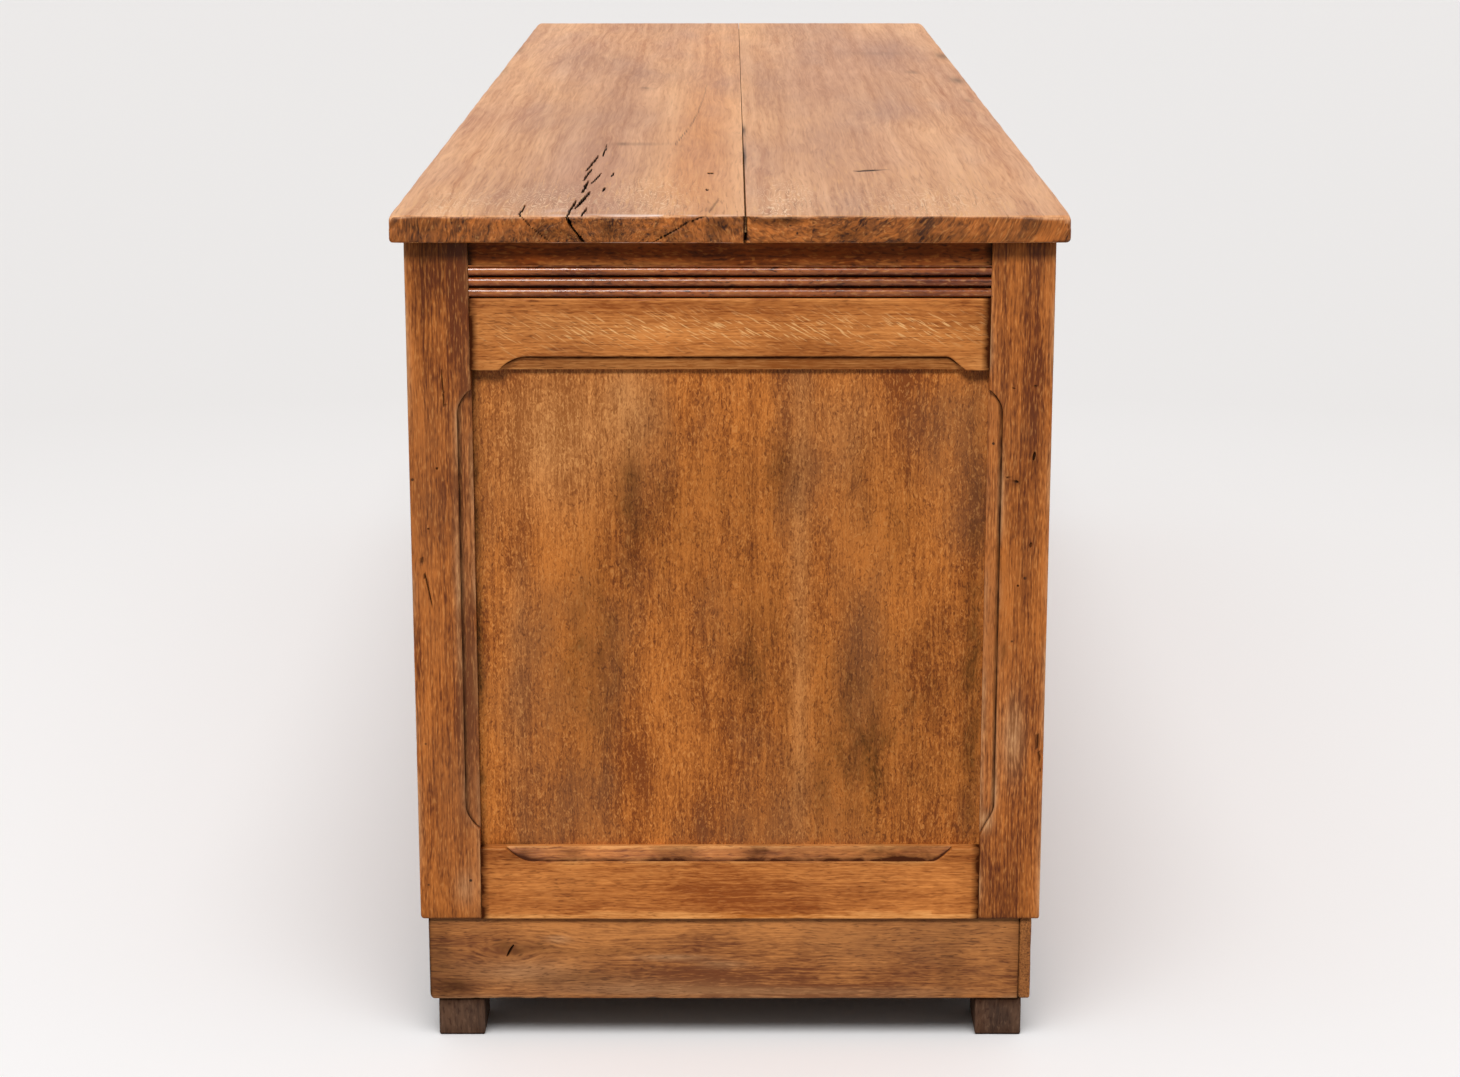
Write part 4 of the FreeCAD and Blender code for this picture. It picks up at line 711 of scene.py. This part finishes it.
# near plinth board: a knot (along, across, reach) with a slit, scuffs, a chipped lower edge, painted shade
# along its top edge under the rail
nearPlinth = {
    "step": 0.005,
    "nicks": 0.01,
    "knots": [(0.529, 0.054, 0.016)],
    "slits": [(525.5, 60, 533, 47, 1.8, 3)],
    "corners": [(1, 0, 0.006)],
    "spots": [(536, 58.5, 9, 6, 0.75), (524, 52, 9, 6, 0.45), (500, 58, 20, 6, 0.35),
        (585, 14, 20, 12, 0.7), (480, 22, 50, 8, 0.35), (450, 52, 50, 4, 0.25), (600, 40, 12, 50, 0.35),
        # the last spot is a dark band along the top edge: painted shade under the rail
        (70, 50, 12, 50, 0.25), (300, 88, 400, 4, 0.35)],
    "rubs": [(520, 30, 50, 12, 0.4), (380, 12, 100, 8, 0.4), (360, 46, 35, 3, 0.6), (310, 38, 25, 4, 0.5),
        (480, 66, 12, 3, 0.5), (250, 8, 160, 3, 0.6)],
}
plinths = []
for k, (at, axes, length) in enumerate(plinthRuns):
    own = {"jointSoil": 0.9, **nearPlinth} if k == 2 else {"jointSoil": 0.0}
    own["arris"] = plinth["arris"] if k else plinth["frontArris"]
    size = (length, chest["plinthTop"] - plinth["low"], pThick)
    plinths.append(boardShape((*at, plinth["low"]), axes, size, 70 + k, endArris=plinth["endArris"], **own))
addPiece("plinth", plinths, plinthOak, "carcass", ["plinth_boards"])
# a foot is a block behind the plinth boards with a slightly wider one under them
foot = {"long": 0.060, "wide": 0.048, "outY": 0.301, "spots": (-1.131, 0.0, 1.131), "arris": 0.0025,
        "endArris": 0.002, "corner": 0.003, "low": 0.0418, "outward": 0.0036, "forward": 0.008}
feet = []
for k, x in enumerate(foot["spots"]):
    for sy in (-1, 1):
        sx = 1 if x > 0 else -1
        rounded = [(0, far, foot["corner"]) for far in (0, 1)]
        lower = (0, foot["low"], foot["forward"] if x else 0, foot["outward"], rounded)
        upper = (foot["low"], chest["plinthTop"] - foot["low"], 0, 0, [])
        for z, high, forward, outward, corners in (lower, upper):
            at = (x + sx * (foot["long"] / 2 + forward), sy * (foot["outY"] + outward), z)
            size = (high, foot["wide"], foot["long"] + forward)
            feet.append(boardShape(at, (zDir, -sy * yDir, sx * xDir), size, 80 + 2 * k + (sy > 0),
                                   corners=corners, arris=foot["arris"], endArris=foot["endArris"]))
addPiece("block_feet", feet, footOak, "carcass", ["feet"])
print("plinth and feet done")

# top planks; lines are closer at the arrises, at the near end and in the bands where splits are
plank = {
    "halfLength": 1.200, "sideY": 0.332, "low": 0.840, "high": 0.867, "seam": (-0.01575, -0.01425),
    "arris": 0.0036, "seamArris": 0.0012, "closeUp": 0.0004, "cornerRound": 0.006, "underArris": 0.6,
    "edgeLines": (0, 0.0005, 0.0012, 0.0022, 0.0035, 0.0052, 0.0075), "nearStep": 0.0042, "nearTo": -0.72,
    "farStep": 0.022, "acrossStep": 0.007, "denseStep": 0.0011, "heightStep": 0.0014,
    "seamReach": 0.02, "closesFrom": -0.8, "closesOver": 0.5, "cornerReach": 0.012, "arrisWear": 0.35,
    "chips": 0.5, "faceRipple": 0.0003, "endRipple": 0.0005, "bleachAndSheen": (0.86, 0.10, 0.12, 0.16),
    "crackDirtAndShade": 2.5, "freshReach": 0.35,
}


# a box of grid lines with its corners pulled in to a sphere of the arris radius, and lens-shaped cracks
def plankShape(y0, y1, seamSide, seed, pith, dense, marks):
    edge = np.array(plank["edgeLines"])
    halfL, low, high = plank["halfLength"], plank["low"], plank["high"]
    x = [-halfL + edge, np.arange(-halfL + 0.0105, plank["nearTo"], plank["nearStep"]),
         np.arange(plank["nearTo"] + 0.01, halfL - 0.012, plank["farStep"]), halfL - edge]
    y = [y0 + edge, y1 - edge, np.arange(y0 + 0.011, y1 - 0.010, plank["acrossStep"])]
    y += [np.arange(lowY, highY, plank["denseStep"]) for lowY, highY in dense]
    z = [low + edge, np.arange(low + 0.0088, high - 0.008, plank["heightStep"]), high - edge]
    x, y, z = (np.unique(np.round(np.hstack(lines), digits)) for lines, digits in ((x, 6), (y, 4), (z, 6)))
    gx, gy, gz = len(x), len(y), len(z)
    i, j, k = np.meshgrid(np.arange(gx), np.arange(gy), np.arange(gz), indexing="ij")
    skin = (i == 0) | (i == gx - 1) | (j == 0) | (j == gy - 1) | (k == 0) | (k == gz - 1)
    ids = np.full(skin.shape, -1)
    ids[skin] = np.arange(skin.sum())
    i, j, k = i[skin], j[skin], k[skin]
    p = np.stack([x[i], y[j], z[k]], -1)
    faces = []
    for grid, turned in ((ids[0], 1), (ids[-1], 0), (ids[:, 0], 0), (ids[:, -1], 1),
                         (ids[:, :, 0], 1), (ids[:, :, -1], 0)):
        face = np.stack([grid[:-1, :-1], grid[1:, :-1], grid[1:, 1:], grid[:-1, 1:]], -1).reshape(-1, 4)
        faces.append(face[:, ::-1] if turned else face)
    quads = np.vstack(faces)
    part = np.arange(len(quads)) < len(faces[0]) + len(faces[1])  # the two ends show end grain

    px, py, pz = p.T
    seamY, outerY = (y1, y0) if seamSide > 0 else (y0, y1)
    soft = np.clip(np.abs(py - seamY) / plank["seamReach"], 0, 1)
    closing = np.clip((px - plank["closesFrom"]) / plank["closesOver"], 0, 1)
    closing = closing * (1 - soft)  # the seam closes up away from the near end
    r = plank["seamArris"] * (1 - 0.5 * closing) + (plank["arris"] - plank["seamArris"]) * soft
    r = r + plank["cornerRound"] * np.exp(-np.hypot(halfL - np.abs(px), py - outerY) / plank["cornerReach"])
    r = r * np.where(pz > 0.5 * (low + high), 1.0, plank["underArris"])
    chips = np.clip(latticeNoise(px / 0.012, py / 0.012, seed + 1) - 0.5, 0, 1)
    r = r * (1 + plank["arrisWear"] * latticeNoise(px / 0.05, py / 0.05, seed) + plank["chips"] * chips)
    lo, hi = np.array([-halfL, y0, low]), np.array([halfL, y1, high])
    core = np.clip(p, lo + r[:, None], hi - r[:, None])
    away = p - core
    verts = core + away / np.linalg.norm(away, axis=1)[:, None] * r[:, None]
    verts[:, 1] += seamSide * plank["closeUp"] * closing
    onTop, onEnd = k == gz - 1, i == 0
    deepTop = crackDepth(px, py, np.array(marks["topCracks"]) / 1000, seed + 2) * onTop
    deepEnd = crackDepth(py, pz, np.array(marks["endCracks"]) / 1000, seed + 3) * onEnd
    verts[:, 2] -= deepTop + onTop * plank["faceRipple"] * (1 + latticeNoise(px / 0.09, py / 0.012, seed + 4))
    verts[:, 0] += deepEnd + onEnd * plank["endRipple"] * (1 + latticeNoise(py / 0.006, pz / 0.003, seed + 5))

    # dirt and painted shade in the cracks
    soil = plank["crackDirtAndShade"] * np.clip((deepTop + deepEnd) / 0.0010, 0, 1)
    soil += softMarks(px, py, marks["spots"]) * ~onEnd + softMarks(py, pz, marks["endSpots"]) * onEnd
    ray = softMarks(px, py, marks["rays"]) * onTop
    dusk, bloomAndGlint = (softMarks(px, py, marks[key]) * ~onEnd for key in ("dusk", "bloomAndGlint"))
    bloomAndGlint = bloomAndGlint * np.clip(0.5 + latticeNoise(px / 0.02, py / 0.012, seed + 9), 0, 1)
    # the face is painted pale, part bleaching and part painted sheen, more so far away and along its outer
    # side; the end grain is not
    farther, outer = np.clip((px - 0.1) / 0.8, 0, 1), np.exp(-((py - outerY) / 0.07) ** 2)
    evenly, cloudy, byFar, bySide = plank["bleachAndSheen"]
    face = evenly + cloudy * latticeNoise(px / 0.25, py / 0.06, seed + 6) + byFar * farther + bySide * outer
    wear = np.clip(away[:, 2] / r, 0, 1) ** 2 * face
    # a pale band on the bend of the upper arris: rubbed wear and a painted highlight
    bend = np.sort(np.abs(away) / r[:, None], axis=1)[:, 1] > 0.3
    rubbed = np.clip(0.3 + 0.3 * latticeNoise(px / 0.03, py / 0.03, seed + 8), 0, 1)
    wear += np.where(bend & (away[:, 2] > 0), rubbed, 0.0)
    grain = np.stack([px + seed * 0.37, py - pith[0], pz - pith[1]], -1)
    fresh = 0.2 + 0.8 * np.exp(-(px + halfL) / plank["freshReach"])
    return {"verts": verts, "quads": quads, "tris": np.zeros((0, 3), int), "part": part, "grain": grain,
            "wear": wear, "soil": soil, "ray": ray, "open": fresh, "dusk": dusk, "bloomAndGlint": bloomAndGlint}


# marks of the back plank in millimetres, by x and y on the face and by y and z on the near end: splits,
# nail holes and cracks (from, from, to, to, width, depth); bruises, dark places on the end, wavy rays, mauve
# (above nothing) and warm (below) parts of the face, and the whitish film and painted highlight by the near
# arris (at, at, reach, reach, amount)
backMarks = {
    "topCracks": [(-1203, 158.2, -1085, 154.8, 1.8, 7), (-1152, 153, -1018, 143.4, 2.8, 10),
        (-1034, 151.4, -928, 149.1, 1.9, 8), (-938, 154.8, -826, 150.2, 1.9, 7),
        (-852, 156.2, -712, 147.6, 2, 7), (-964, 145.6, -866, 138, 1.4, 5),
        (-720, 143.2, -610, 142.3, 1.2, 4), (-1019, 130.5, -985, 130, 1.6, 4),
        (-905, 126.5, -860, 124.5, 1.3, 4), (-1203, 144, -1140, 142, 1.7, 5),
        (-1203, 204.5, -1125, 204, 1.4, 4), (-602, 63.3, -425, 48.8, 1.6, 0.4),
        (-440, 49.9, -245, 40.3, 1.6, 0.4), (-262, 41.2, -70, 35.2, 1.6, 0.3),
        (-85, 35.7, 120, 31.5, 1.6, 0.2), (-878, 23.1, -864, 23.1, 2.6, 3),
        (-878, 19.9, -864, 19.9, 2.6, 3), (-1010, 24.3, -996, 24.3, 2.6, 3),
        (-1180, 20.8, -1070, 11.2, 3, 0.3)],
    "endCracks": [(160, 868.5, 153.5, 855, 2, 8), (154.5, 857, 141.5, 839.5, 1.3, 4),
        (18, 869, 48, 857, 1, 0.8), (43, 858.5, 76.3, 839.5, 1, 0.8), (204.3, 868.5, 193, 855, 1, 0.7),
        (194, 856.5, 174, 839.5, 0.9, 0.6), (-14.2, 872, -14.2, 838, 1.4, 5)],
    "spots": [(56, 116, 16, 6, 0.6), (657, 329, 60, 8, 0.4), (321, 329, 70, 7, 0.35),
        (-600, 105, 12, 30, 0.3), (-1100, 300, 40, 12, 0.15), (-1155, 20, 20, 4, 0.3),
        (-605, 125, 10, 7, 0.5), (-450, 170, 300, 60, 0.08)],
    "endSpots": [(170, 850, 30, 10, 0.45), (118, 852, 10, 14, 0.55), (60, 848, 30, 6, 0.4),
        (12, 858, 12, 10, 0.5), (300, 858, 20, 6, 0.3)],
    "rays": [(-1100, 190, 120, 50, 0.6), (-1080, 80, 150, 40, 0.6), (-1120, 280, 100, 30, 0.5)],
    "dusk": [(-900, 150, 420, 70, 0.9), (-100, 140, 550, 80, 0.6), (400, 200, 300, 60, 0.3),
        (-1150, 100, 60, 50, 0.4), (-900, 40, 500, 45, -1), (-100, 30, 600, 40, -0.9),
        (800, 30, 400, 50, -0.4)],
    # the first two are a painted highlight along the near arris, the last a whitish film of dust by the split
    "bloomAndGlint": [(-1196, 115, 6, 50, 0.9), (-1197, 45, 4, 40, 0.8), (-1175, 168, 20, 12, 0.5)],
}
# marks of the front plank, with one broad scratch in place of the splits
frontMarks = {
    "topCracks": [(-854, -135.6, -837, -167.8, 10, 0.6)],
    "endCracks": [(-15.8, 868, -15.8, 842, 1.4, 4)],
    "spots": [(551, -325, 50, 10, 0.7), (170, -320, 40, 10, 0.7), (290, -263.6, 18, 7, 0.7),
        (-110, -315, 20, 6, 0.5), (-460, -16.5, 50, 3, 1.2), (-720, -16.5, 100, 2, 1),
        (600, -230, 20, 50, 0.2)],
    "endSpots": [(-50, 863, 25, 4, 0.8), (-110, 850, 30, 8, 0.4), (-300, 855, 20, 8, 0.35),
        (-210, 845, 60, 5, 0.4)],
    "rays": [(-1060, -55, 110, 26, 0.75), (-1170, -50, 30, 20, 0.9), (-1100, -200, 120, 70, 0.5)],
    "dusk": [(-750, -85, 550, 55, 0.32), (-350, -140, 500, 50, 0.3), (350, -200, 450, 100, 0.7),
        (900, -200, 400, 120, 0.6), (300, -310, 300, 40, 0.3), (-700, -190, 250, 60, 0.5),
        (150, -100, 350, 60, 0.5)],
    "bloomAndGlint": [],
}
backPlank = plankShape(plank["seam"][1], plank["sideY"], -1, 5, (0.116, 0.825),
                       [(0.122, 0.165), (0.172, 0.206), (0.030, 0.078), (0.008, 0.028)], backMarks)
frontPlank = plankShape(-plank["sideY"], plank["seam"][0], 1, 9, (-0.08, 0.95),
                        [(-0.026, -0.016)], frontMarks)
addPiece("plank_back", [backPlank], [topOak, endOak], "carcass", ["top_back_plank"])
addPiece("plank_front", [frontPlank], [topOak, endOak], "carcass", ["top_front_plank"])
print("top planks done")

# front: bottom rail, drawer rails and the partitions, each of three boards (from, to, front face)
column = {"left": -1.135, "pitch": 0.57425, "width": 0.54725, "floors": (0.606, 0.408, 0.210),
          "bottomRail": 0.055, "railHigh": 0.022, "railDeep": 0.060, "arris": 0.001,
          "partition": 0.027, "partitionBack": 0.293,
          "partitionBoards": ((0.188, 0.782, -0.320), (0.149, 0.188, -0.293), (0.782, 0.840, -0.293))}
frontRail = boardShape((-halfX, -sideY, chest["plinthTop"]), frontAxes,
                       (2 * halfX, column["bottomRail"], chest["railThick"]), 90)
addPiece("rail_front", [frontRail], railOak, "carcass", ["front_bottom_rail"])
size = (column["width"], column["railHigh"], column["railDeep"])
drawerRails = [boardShape((column["left"] + c * column["pitch"], -sideY, z - column["railHigh"]), frontAxes,
                          size, 100 + 4 * r + c, arris=column["arris"])
               for r, z in enumerate(column["floors"]) for c in range(4)]
addPiece("rails_drawer", drawerRails, postOak, "carcass", ["drawer_rails"])
partitions = []
for k in range(3):
    x = column["left"] + (k + 1) * column["pitch"] - column["partition"]
    for z0, z1, y0 in column["partitionBoards"]:
        size = (z1 - z0, column["partition"], column["partitionBack"] - y0)
        partitions.append(boardShape((x, y0, z0), (zDir, xDir, -yDir), size, 115 + k, arris=column["arris"]))
addPiece("partition_boards", partitions, postOak, "carcass", ["partitions"])
print("front done")

# drawers: front, box and turned knob
drawer = {"gap": 0.0015, "frontThick": 0.022, "frontHigh": 0.173, "lap": 0.012, "arris": 0.0014,
          "innerArris": 0.0008, "sideThick": 0.014, "sideTop": 0.1685, "sideBack": 0.271, "sideLift": 0.0003,
          "backThick": 0.012, "backLift": 0.020, "bottomLow": 0.0113, "bottomThick": 0.008,
          "bottomFrom": 0.0165, "groove": 0.006, "knobHeight": 0.088}
pin = {"narrow": 0.0026, "wide": 0.0046, "deep": 0.0135, "proud": 0.00015, "soil": 0.2,
       "heights": (0.006, 0.045, 0.084, 0.123, 0.162)}
# a knob, with its (radius, height) from seat to crown in millimetres
knob = {"profile": [(0, 0), (12.4, 0), (12.7, 1.2), (11.9, 2.8), (10.0, 4.2), (9.1, 7.5), (9.6, 11.2),
                    (12.6, 14.6), (15.8, 16.8), (16.9, 18.5), (16.6, 21.2), (14.6, 25.0), (9.8, 27.8),
                    (4.5, 28.8), (0, 29.0)],
        "lines": 61, "around": 32, "tip": 0.0003, "wearAt": 0.0168, "wearReach": 0.002, "wear": 0.6,
        "soilReach": 0.004, "soil": 0.6}


# the knob's profile, a radius for each height, turned round its axis
def knobShape(x, y, z, seed):
    profile = np.array(knob["profile"]) / 1000
    t = np.linspace(0, len(profile) - 1, knob["lines"])
    r, h = (np.interp(t, np.arange(len(profile)), profile[:, k]) for k in (0, 1))
    smooth = np.array([0.25, 0.5, 0.25])
    r[1:-1], h[1:-1] = np.convolve(r, smooth, "valid"), np.convolve(h, smooth, "valid")
    angle = np.linspace(0, 2 * np.pi, knob["around"] + 1)[None, :-1]
    r, h = np.maximum(r, knob["tip"])[:, None], h[:, None]
    points = np.stack([x + r * np.cos(angle), y - h + 0 * angle, z + r * np.sin(angle)], -1)
    grain = np.stack([h + seed + 0 * angle, r * np.cos(angle) + 0.03, r * np.sin(angle) + 0.01], -1)
    wear = knob["wear"] * np.clip(1 - np.abs(r - knob["wearAt"]) / knob["wearReach"], 0, 1) + 0 * angle
    soil = knob["soil"] * np.clip(1 - h / knob["soilReach"], 0, 1) + 0 * angle
    return carryRings(points, grain=grain, wear=wear, soil=soil)


# a dovetail pin: a trapezoid, wider towards the back, carried through the thickness of the drawer's side
def pinShape(x, y, z, way, seed):
    t = pin["deep"] * np.linspace(0, 1, 3)[:, None]
    backward = np.repeat([[drawer["lap"], drawer["frontThick"]]], 2, axis=1)
    upward = np.array([[-pin["narrow"], pin["narrow"], pin["wide"], -pin["wide"]]])
    inward = way * (t - pin["proud"])
    points = np.stack([x + inward + 0 * upward, y + backward + 0 * t, z + upward + 0 * t], -1)
    grain = np.stack([t + seed + 0 * upward, upward + z + 0 * t, backward + 0.3 + 0 * t], -1)
    flat = 0 * points[..., 0]
    return carryRings(points, grain=grain, wear=flat, soil=flat + pin["soil"], ray=flat)


gap, lap, sideThick = (drawer[k] for k in ("gap", "lap", "sideThick"))
sideTop, sideBack = drawer["sideTop"], drawer["sideBack"]
upAxes = (xDir, yDir, zDir)
for c, letter in enumerate("abcd"):
    for r, floor in enumerate(column["floors"]):
        name, seed = "drawer_%s%d" % (letter, r + 1), 200 + 10 * (3 * c + r)
        x0, faceY, low = column["left"] + c * column["pitch"] + gap, -sideY, floor + gap
        wide = column["width"] - 2 * gap
        inner, innerX, lapY = wide - 2 * sideThick, x0 + sideThick, faceY + lap
        rays = [(120 + 300 * (seed % 3 == 0), 90, 180, 50, 0.6)]
        outerSize = (wide, drawer["frontHigh"], lap)
        innerSize = (inner, drawer["frontHigh"], drawer["frontThick"] - lap)
        front = [boardShape((x0, faceY, low), frontAxes, outerSize, seed, jointSoil=0.3, endSoil=0.25,
                            arris=drawer["arris"], pith=(0.05 + 0.02 * r, 0.3), rays=rays),
                 boardShape((innerX, lapY, low), frontAxes, innerSize, seed, jointSoil=0.0,
                            arris=drawer["innerArris"])]
        front += [pinShape(x, faceY, floor + high, way, seed)
                  for x, way in ((x0, 1), (x0 + wide, -1)) for high in pin["heights"]]
        addPiece(name + "_face", front, railOak, name, [name + "_front"])
        size = (sideBack - faceY - lap, sideThick, sideTop - drawer["sideLift"])
        box = [boardShape((x0 + side * (wide - sideThick), lapY, floor + sideTop), (yDir, xDir, zDir), size,
                          seed + 1 + side, jointSoil=0.2) for side in (0, 1)]
        box.append(boardShape((innerX, sideBack - drawer["backThick"], floor + sideTop), upAxes,
                              (inner, drawer["backThick"], sideTop - drawer["backLift"]), seed + 3))
        bottomTop = floor + drawer["bottomLow"] + drawer["bottomThick"]
        at = (innerX - drawer["groove"], faceY + drawer["bottomFrom"], bottomTop)
        size = (inner + 2 * drawer["groove"], sideBack - faceY - drawer["bottomFrom"], drawer["bottomThick"])
        box.append(boardShape(at, upAxes, size, seed + 4, step=0.03))
        addPiece(name + "_tray", box, drawerOak, name, [name + "_box"])
        pull = knobShape(x0 + wide / 2, faceY, floor + drawer["knobHeight"], seed)
        addPiece(name + "_pull", [pull], knobOak, name, [name + "_knob"], sharp=60)
print("drawers done")

# frame nodes left showing inside
for node, finish in (("top_tongue", insideX), ("glue_blocks", insideX), ("drawer_runners", insideY),
                     ("drawer_stops", insideX), ("plinth_bearers", insideY), ("floor_boards", insideX)):
    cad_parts[node].data.materials.clear()
    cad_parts[node].data.materials.append(finish)

# studio: pale floor with its own lamps, broad key from the upper left of the camera, pale world;
# a lamp is (strength, size in degrees, way to the lamp)
studio = {"floorNear": "#fbfafa", "floorFar": "#e8e6e5", "fade": (0.8, 4.2), "pool": (-1.9, 0.0, 0.0),
          "floorReach": 40, "floorRough": 0.8, "floorShine": 0.1, "floorBounce": "#a5a3a1",
          "fill": 0.24, "background": "#e8e6e5",
          "sunHeight": 45, "sunAside": 11.5, "sunStrength": 3.25, "sunSize": 16.0,
          "frontLight": (1.83, 40, (-0.55, 0.0, 1.4)), "skyLight": (0.95, 105, (0.25, 0.14, 1.0)),
          "frontFill": (0.9, 60, (0.10, -1.0, 0.35))}


# share of rays that show a ground as it looks: from the camera, mirrored, or through glass
def seenRays(tree):
    rays = addNode(tree, "LightPath").node.outputs
    seen = rays["Is Camera Ray"]
    for way in ("Is Glossy Ray", "Is Transmission Ray"):
        seen = addNode(tree, "Math", (seen, rays[way]), operation="MAXIMUM")
    return seen


floorMesh = bpy.data.meshes.new("studio_floor")
lines = np.linspace(-studio["floorReach"], studio["floorReach"], 9)
u, v = np.meshgrid(lines, lines, indexing="ij")
grid = np.arange(u.size).reshape(u.shape)
floorQuads = np.stack([grid[:-1, :-1], grid[1:, :-1], grid[1:, 1:], grid[:-1, 1:]], -1).reshape(-1, 4)
floorMesh.from_pydata(np.stack([u, v, 0 * u], -1).reshape(-1, 3).tolist(), [], floorQuads.tolist())
# matt pale paint; it throws back less light than it shows
floorFinish = bpy.data.materials.new("paintedStudioFloor")
floorFinish.use_nodes = True
tree = floorFinish.node_tree
bsdf = tree.nodes["Principled BSDF"].inputs
# the floor's colour is a painted pool of light: palest round the pool's middle by the near end, fading darker
# far away
away = addNode(tree, "VectorMath", (addNode(tree, "TexCoord"), studio["pool"]), "Value", operation="DISTANCE")
away = addNode(tree, "MapRange", (away, *studio["fade"]))
pale = {0: away, 6: colour(studio["floorNear"]), 7: colour(studio["floorFar"])}
pale = addNode(tree, "Mix", pale, data_type="RGBA")
paint = addNode(tree, "Mix", {0: seenRays(tree), 6: colour(studio["floorBounce"]), 7: pale}, data_type="RGBA")
tree.links.new(paint, bsdf["Base Color"])
bsdf["Roughness"].default_value = studio["floorRough"]
bsdf["Specular IOR Level"].default_value = studio["floorShine"]
floorMesh.materials.append(floorFinish)
floorPiece = bpy.data.objects.new("studio_floor", floorMesh)
bpy.context.scene.collection.objects.link(floorPiece)

world = bpy.data.worlds.new("studio")
world.use_nodes = True
tree = world.node_tree
backdrop = tree.nodes["Background"].inputs
backdrop["Color"].default_value = colour(studio["background"])
strength = addNode(tree, "MapRange", (seenRays(tree), 0.0, 1.0, studio["fill"], 1.0))
tree.links.new(strength, backdrop["Strength"])
bpy.context.scene.world = world

# key and front fill light all but the floor, the floor's lamps only the floor, so its shadow stays faint
high, aside = math.radians(studio["sunHeight"]), math.radians(studio["sunAside"])
toKey = (-math.cos(high) * math.cos(aside), math.cos(high) * math.sin(aside), math.sin(high))
for name, (energy, size, toward), state in (
        ("key_light", (studio["sunStrength"], studio["sunSize"], toKey), "EXCLUDE"),
        ("front_light", studio["frontLight"], "INCLUDE"), ("sky_light", studio["skyLight"], "INCLUDE"),
        ("front_fill", studio["frontFill"], "EXCLUDE")):
    lamp = bpy.data.lights.new(name, "SUN")
    lamp.energy = energy
    lamp.angle = math.radians(size)
    lampObject = bpy.data.objects.new(name, lamp)
    lampObject.rotation_euler = Vector(toward).to_track_quat("Z", "Y").to_euler()
    bpy.context.scene.collection.objects.link(lampObject)
    linked = bpy.data.collections.new(name + "_links")
    linked.objects.link(floorPiece)
    linked.collection_objects[0].light_linking.link_state = state
    lampObject.light_linking.receiver_collection = linked

# camera: 3050 pixels of focal length over a 1460-pixel frame, 14 degrees down
view = {"focal": 3050, "wide": 1460, "sensor": 36.0, "place": (-4.148, 0.0, 1.279), "down": 14.0}
camera = bpy.data.cameras.new("camera")
camera.sensor_width = view["sensor"]
camera.lens = view["sensor"] * view["focal"] / view["wide"]
cameraObject = bpy.data.objects.new("camera", camera)
cameraObject.location = view["place"]
cameraObject.rotation_euler = (math.radians(90 - view["down"]), 0, math.radians(-90))
bpy.context.scene.collection.objects.link(cameraObject)
bpy.context.scene.camera = cameraObject
bpy.context.scene.view_settings.view_transform = "Standard"
print("studio and camera set")
